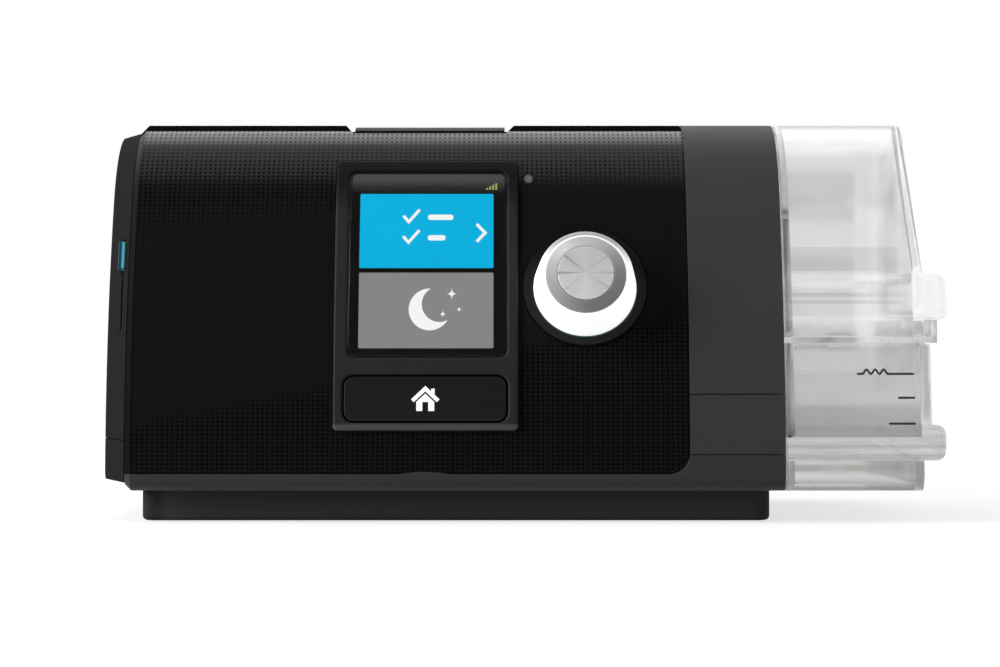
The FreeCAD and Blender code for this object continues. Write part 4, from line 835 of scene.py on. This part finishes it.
# Signs in millimetres across and up the front, the tick's heights from its row's middle
signs = {"rows": (78.6, 73.2), "tick": [(-31.0, 0.4), (-29.6, -1.2), (-26.8, 2.0)], "tickWidth": 0.75,
         "bar": (-24.6, -18.0), "barShorter": 2.0, "barHalf": 0.7, "barCorner": 0.6,
         "arrow": [(-11.9, 76.8), (-9.7, 74.5), (-11.9, 72.2)], "arrowWidth": 0.8,
         "moon": (-24.0, 54.6), "moonRadius": 5.4, "moonBite": 4.6, "moonShift": 2.9, "moonLean": 28,
         "stars": [(-18.3, 58.6, 1.5), (-20.6, 53.4, 1.0), (-16.4, 54.6, 0.8)],
         "signals": 4, "signalX": -9.5, "signalStep": 0.8, "signalWidth": 0.5, "signalFoot": 85.9,
         "signalTop": 86.4, "signalRise": 0.4, "signalCorner": 0.05}


def showOnScreen(name, edges, finish, inset):
    piece = plateOnSkin(name, edges, inset, screen["sheet"], "housing", finishes[finish])
    return piece


def showSign(name, edges, finish="screenWhite"):
    return showOnScreen(name, edges, finish, screen["signInset"])


def spots(points):
    return [(x * mm, z * mm) for x, z in points]


def crescent(x, z, radius, bite, shift, lean, steps=40):
    # outer arc and the arc of a second circle that bites into it, joined at two tips
    tip = math.acos((radius ** 2 + shift ** 2 - bite ** 2) / (2 * radius * shift))
    outerTurn = np.linspace(tip, 2 * math.pi - tip, steps)
    outer = radius * np.stack([np.cos(outerTurn), np.sin(outerTurn)], axis=-1)
    biteTip = math.atan2(radius * math.sin(tip), radius * math.cos(tip) - shift)
    innerTurn = np.linspace(biteTip, 2 * math.pi - biteTip, steps)
    inner = np.stack([shift + bite * np.cos(innerTurn), bite * np.sin(innerTurn)], axis=-1)
    turn = np.array([[math.cos(lean), math.sin(lean)], [-math.sin(lean), math.cos(lean)]])
    return inner @ turn + (x, z), outer @ turn + (x, z)


def sparkle(x, z, reach, steps=13):
    # four-pointed star: the height falls off as (1 - sqrt(share))^2 from the middle
    share = np.linspace(-1, 1, 2 * steps + 1)
    height = reach * (1 - np.sqrt(np.abs(share))) ** 2
    run = x + reach * share
    return np.stack([run, z - height], axis=-1), np.stack([run, z + height], axis=-1)


def makeScreen():
    lensLow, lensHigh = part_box("screen_lens")
    rim = screen["backRim"]
    back = roundedBar(lensLow.x + rim, lensHigh.x - rim, lensLow.z + rim, lensHigh.z - rim,
                      screen["backCorner"])
    piece = plateOnSkin("screenBack", back, screen["backInset"], screen["sheet"], "housing",
                        finishes["screenBlack"], rows=24)
    for name, (z0, z1), finish in (("screenTileBlue", screen["blue"], "screenBlue"),
                                   ("screenTileGrey", screen["grey"], "screenGrey")):
        tile = roundedBar(screen["x0"], screen["x1"], z0, z1, screen["corner"])
        showOnScreen(name, tile, finish, screen["tileInset"])
    # painted reflection: a paler strip across the top of the screen
    rim = screen["headRim"]
    head = roundedBar(lensLow.x + rim, lensHigh.x - rim, screen["headFoot"], lensHigh.z - rim,
                      screen["headCorner"])
    showOnScreen("screenHeadReflection", head, "screenHeadReflection", screen["tileInset"])


def makeSigns():
    # list with ticks: two rows of a tick and a bar
    half = signs["barHalf"]
    for row, z in enumerate(signs["rows"]):
        tick = spots([(x, z + up) for x, up in signs["tick"]])
        showSign("screenTick%d" % row, stroke(tick, signs["tickWidth"] * mm))
        x0, x1 = signs["bar"]
        x1 = x1 - signs["barShorter"] * row
        bar = roundedBar(x0 * mm, x1 * mm, (z - half) * mm, (z + half) * mm, signs["barCorner"] * mm)
        showSign("screenBar%d" % row, bar)
    showSign("screenArrow", stroke(spots(signs["arrow"]), signs["arrowWidth"] * mm))
    x, z = signs["moon"]
    moon = crescent(x * mm, z * mm, signs["moonRadius"] * mm, signs["moonBite"] * mm,
                    signs["moonShift"] * mm, math.radians(signs["moonLean"]))
    showSign("screenMoon", moon)
    for count, (x, z, reach) in enumerate(signs["stars"]):
        showSign("screenStar%d" % count, sparkle(x * mm, z * mm, reach * mm))
    for count in range(signs["signals"]):
        x = (signs["signalX"] + signs["signalStep"] * count) * mm
        top = (signs["signalTop"] + signs["signalRise"] * count) * mm
        bar = roundedBar(x, x + signs["signalWidth"] * mm, signs["signalFoot"] * mm, top,
                         signs["signalCorner"] * mm, 3)
        showSign("screenSignal%d" % count, bar, "screenGreen")


makeScreen()
makeSigns()
print("screen lit")

# House sign on the home button, its lines in millimetres from the middle of its foot
house = {"x": -24.96 * mm, "z": 28.7 * mm, "proud": 0.6 * mm, "print": 0.04 * mm, "roofWidth": 1.0,
         "roof": [(-3.3, 2.6), (0.0, 5.7), (3.3, 2.6)],
         "walls": {"Left": [(-2.3, 2.3), (-0.75, 3.75)], "Right": [(0.75, 3.75), (2.3, 2.3)]},
         "gable": [(-0.75, 3.75), (0.0, 4.45), (0.75, 3.75)], "doorTop": 2.3,
         "chimney": [(1.5, 4.35), (2.4, 5.7)], "chimneyCorner": 0.05}


def onButton(points):
    return np.array([(house["x"] + x * mm, house["z"] + z * mm) for x, z in points])


def levelled(line, height):
    # the same run of x, at one height
    return np.stack([line[:, 0], np.full(len(line), height)], axis=-1)


def printSign(name, edges, rows):
    inset = -house["proud"] - house["print"]
    piece = plateOnSkin(name, edges, inset, house["print"], "home_button", finishes["iconWhite"], rows)
    return piece


def makeHouse():
    # roof line, two walls, the gable over the doorway, and a chimney
    printSign("houseRoof", stroke(onButton(house["roof"]), house["roofWidth"] * mm), 3)
    for side, line in house["walls"].items():
        top = onButton(line)
        printSign("houseWall" + side, (levelled(top, house["z"]), top), 4)
    gable = onButton(house["gable"])
    printSign("houseFront", (levelled(gable, house["z"] + house["doorTop"] * mm), gable), 4)
    (x0, z0), (x1, z1) = onButton(house["chimney"])
    printSign("houseChimney", roundedBar(x0, x1, z0, z1, house["chimneyCorner"] * mm, 3), 3)


makeHouse()
print("house sign printed")

# Tub: level marks printed on its front, and the water in it
tub = {"gap": 0.1 * mm, "wall": 2.0 * mm, "endWall": 2.6 * mm, "level": 38.1 * mm, "corner": 0.4 * mm,
       "insideX": -12.0 * mm, "insideY": (-34.0 * mm, 46.0 * mm), "insideFloor": 17.6 * mm,
       "outsideX": 67.55 * mm, "endX": 104.7 * mm, "outsideRear": 48.0 * mm, "outsideFloor": 22.0 * mm}
# Runs, ripples and lines of the marks are in millimetres across and up the front
marks = {"print": 0.03 * mm, "width": 0.55 * mm, "corner": 0.1 * mm, "level": 38.15 * mm,
         "levelRun": (85.6, 100.2), "ripplesFrom": 87.0, "ripplesLong": 6.6, "ripples": 3,
         "rippleRise": 1.1, "lines": {"levelHalf": (96.1, 32.05), "levelLow": (93.6, 25.45)},
         "linesEnd": 100.4}


def printedMark(name, edges):
    piece = plateOnSkin(name, edges, -marks["print"], marks["print"], "tub", finishes["componentBlack"], 3)
    return piece


def makeMarks():
    # top level: a line that starts with a few ripples, height = sin^2 over each ripple
    x = np.linspace(*marks["levelRun"], 120)
    share = np.clip((x - marks["ripplesFrom"]) / marks["ripplesLong"], 0, 1)
    rise = marks["rippleRise"] * np.sin(marks["ripples"] * math.pi * share) ** 2
    line = np.stack([x * mm, marks["level"] + rise * mm], axis=-1)
    printedMark("levelTop", stroke(line, marks["width"]))
    half = marks["width"] / 2
    for name, (x0, z) in marks["lines"].items():
        bar = roundedBar(x0 * mm, marks["linesEnd"] * mm, z * mm - half, z * mm + half, marks["corner"], 3)
        printedMark(name, bar)


makeMarks()


def makeWater():
    # front and rear of the water as grids over x and height, stepping out where the tub leaves its bay
    inside = tub["wall"] + tub["gap"]
    mouth = tub["outsideX"] + inside
    end = tub["endX"] - tub["endWall"] - tub["gap"]
    turn = np.linspace(0, math.pi / 2, 8)
    cornerRun = end - tub["corner"] * (1 - np.sin(turn))
    bayRun = np.linspace(tub["insideX"] + inside, mouth, 6)
    openRun = np.linspace(mouth, cornerRun[0], 8)[:-1]
    x = np.concatenate([bayRun, openRun, cornerRun])
    draw = np.concatenate([np.zeros(len(bayRun) + len(openRun)), tub["corner"] * (1 - np.cos(turn))])
    outside = np.arange(len(x)) >= len(bayRun)
    floor = np.where(outside, tub["outsideFloor"], tub["insideFloor"] + tub["wall"]) + tub["gap"]
    share = np.linspace(0, 1, 10)[:, None]
    z = floor[None] * (1 - share) + tub["level"] * share
    frontY = np.where(outside[None], skinY(z, inside) + draw[None], tub["insideY"][0] + inside)
    rearY = np.where(outside, tub["outsideRear"] - inside, tub["insideY"][1] - inside)[None] + 0 * z
    run = x[None] + 0 * z
    piece = slab("tubWater", np.stack([run, frontY, z], axis=-1), np.stack([run, rearY, z], axis=-1), "tub",
                 finishes["tubWater"])


makeWater()
print("tub filled and marked")

# Stage: pale floor that keeps the shadow, white behind, a darker studio in front
stage = {"floorSize": 6.0, "floorShade": 0.45, "floorRoughness": 0.9, "floorGlow": 0.69, "fadeFrom": 0.25,
         "fadeTo": 0.9, "studioFront": 0.035, "studioRear": 0.6, "turnsWhite": (-0.5, 0.0),
         "throughGlass": 0.1}


def seenDirectly(tree):
    # camera, mirror and glass rays see the floor's own white
    path = put(tree, "ShaderNodeLightPath")
    seen = maths(tree, "MAXIMUM", path.outputs["Is Camera Ray"], path.outputs["Is Glossy Ray"])
    return maths(tree, "MAXIMUM", seen, path.outputs["Is Transmission Ray"])


def makeFloor():
    half = stage["floorSize"] / 2
    corners = [(-half, -half, 0), (half, -half, 0), (half, half, 0), (-half, half, 0)]
    mesh = bpy.data.meshes.new("floor")
    mesh.from_pydata(corners, [], [(0, 1, 2, 3)])
    floor = bpy.data.objects.new("floor", mesh)
    bpy.context.scene.collection.objects.link(floor)
    material, tree, shader = newMaterial("paleFloor")
    away = put(tree, "ShaderNodeVectorMath", operation="LENGTH")
    tree.links.new(objectPlace(tree), away.inputs[0])
    far = ramp(tree, away.outputs["Value"], stage["fadeFrom"], stage["fadeTo"])
    colour = blendColours(tree, far, rgb((1, 1, 1), stage["floorShade"]), rgb((0, 0, 0)))
    tree.links.new(colour, shader.inputs["Base Color"])
    shader.inputs["Roughness"].default_value = stage["floorRoughness"]
    shader.inputs["Specular IOR Level"].default_value = 0.0
    glow = ramp(tree, far, 0.0, 1.0, stage["floorGlow"], 1.0)
    glow = maths(tree, "MULTIPLY", glow, seenDirectly(tree))
    tree.links.new(glow, shader.inputs["Emission Color"])
    shader.inputs["Emission Strength"].default_value = 1.0
    mesh.materials.append(material)


def makeWorld():
    world = bpy.data.worlds.new("studio")
    bpy.context.scene.world = world
    world.use_nodes = True
    tree = world.node_tree
    background = tree.nodes["Background"]
    direction = put(tree, "ShaderNodeTexCoord").outputs["Generated"]
    behind = ramp(tree, split(tree, direction)[1], *stage["turnsWhite"])
    level = ramp(tree, behind, 0.0, 1.0, stage["studioFront"], stage["studioRear"])
    path = put(tree, "ShaderNodeLightPath")
    mirrored = maths(tree, "MULTIPLY", path.outputs["Is Glossy Ray"], behind)
    through = maths(tree, "MAXIMUM", behind, stage["throughGlass"])
    through = maths(tree, "MULTIPLY", path.outputs["Is Transmission Ray"], through)
    white = maths(tree, "MAXIMUM", mirrored, through)
    white = maths(tree, "MAXIMUM", path.outputs["Is Camera Ray"], white)
    mixed = put(tree, "ShaderNodeMix", data_type="FLOAT")
    tree.links.new(white, mixed.inputs[0])
    tree.links.new(level, mixed.inputs[2])
    mixed.inputs[3].default_value = 1.0
    tree.links.new(mixed.outputs[0], background.inputs["Strength"])
    background.inputs["Color"].default_value = (1, 1, 1, 1)


lamps = {
    "rearTop": {"at": (0.0, 0.55, 0.75), "aim": (0.0, -0.02, 0.08), "size": (1.4, 0.45), "power": 2.6},
    "leftSide": {"at": (-1.1, -0.5, 0.55), "aim": (0.0, 0.0, 0.06), "size": (0.5, 0.9), "power": 16.0},
    "rightSide": {"at": (1.2, -0.45, 0.6), "aim": (0.05, 0.0, 0.06), "size": (0.5, 0.9), "power": 2.0},
}


def makeLamps():
    for name, lamp in lamps.items():
        light = bpy.data.lights.new(name, "AREA")
        light.shape = "RECTANGLE"
        light.size, light.size_y = lamp["size"]
        light.energy = lamp["power"]
        holder = bpy.data.objects.new(name, light)
        holder.location = lamp["at"]
        sight = np.subtract(lamp["aim"], lamp["at"])
        holder.rotation_euler = Vector(sight).to_track_quat("-Z", "Y").to_euler()
        bpy.context.scene.collection.objects.link(holder)


camera = {"at": (-5.85 * mm, -925 * mm, 48.5 * mm), "lens": 119.9, "sensor": 36.0, "nearest": 10 * mm}


def makeCamera():
    data = bpy.data.cameras.new("photoView")
    data.lens = camera["lens"]
    data.sensor_width = camera["sensor"]
    data.clip_start = camera["nearest"]
    holder = bpy.data.objects.new("photoView", data)
    holder.location = camera["at"]
    holder.rotation_euler = (math.pi / 2, 0, 0)
    bpy.context.scene.collection.objects.link(holder)
    bpy.context.scene.camera = holder


makeFloor()
makeWorld()
makeLamps()
makeCamera()
bpy.context.scene.view_settings.view_transform = "Standard"
print("stage set")
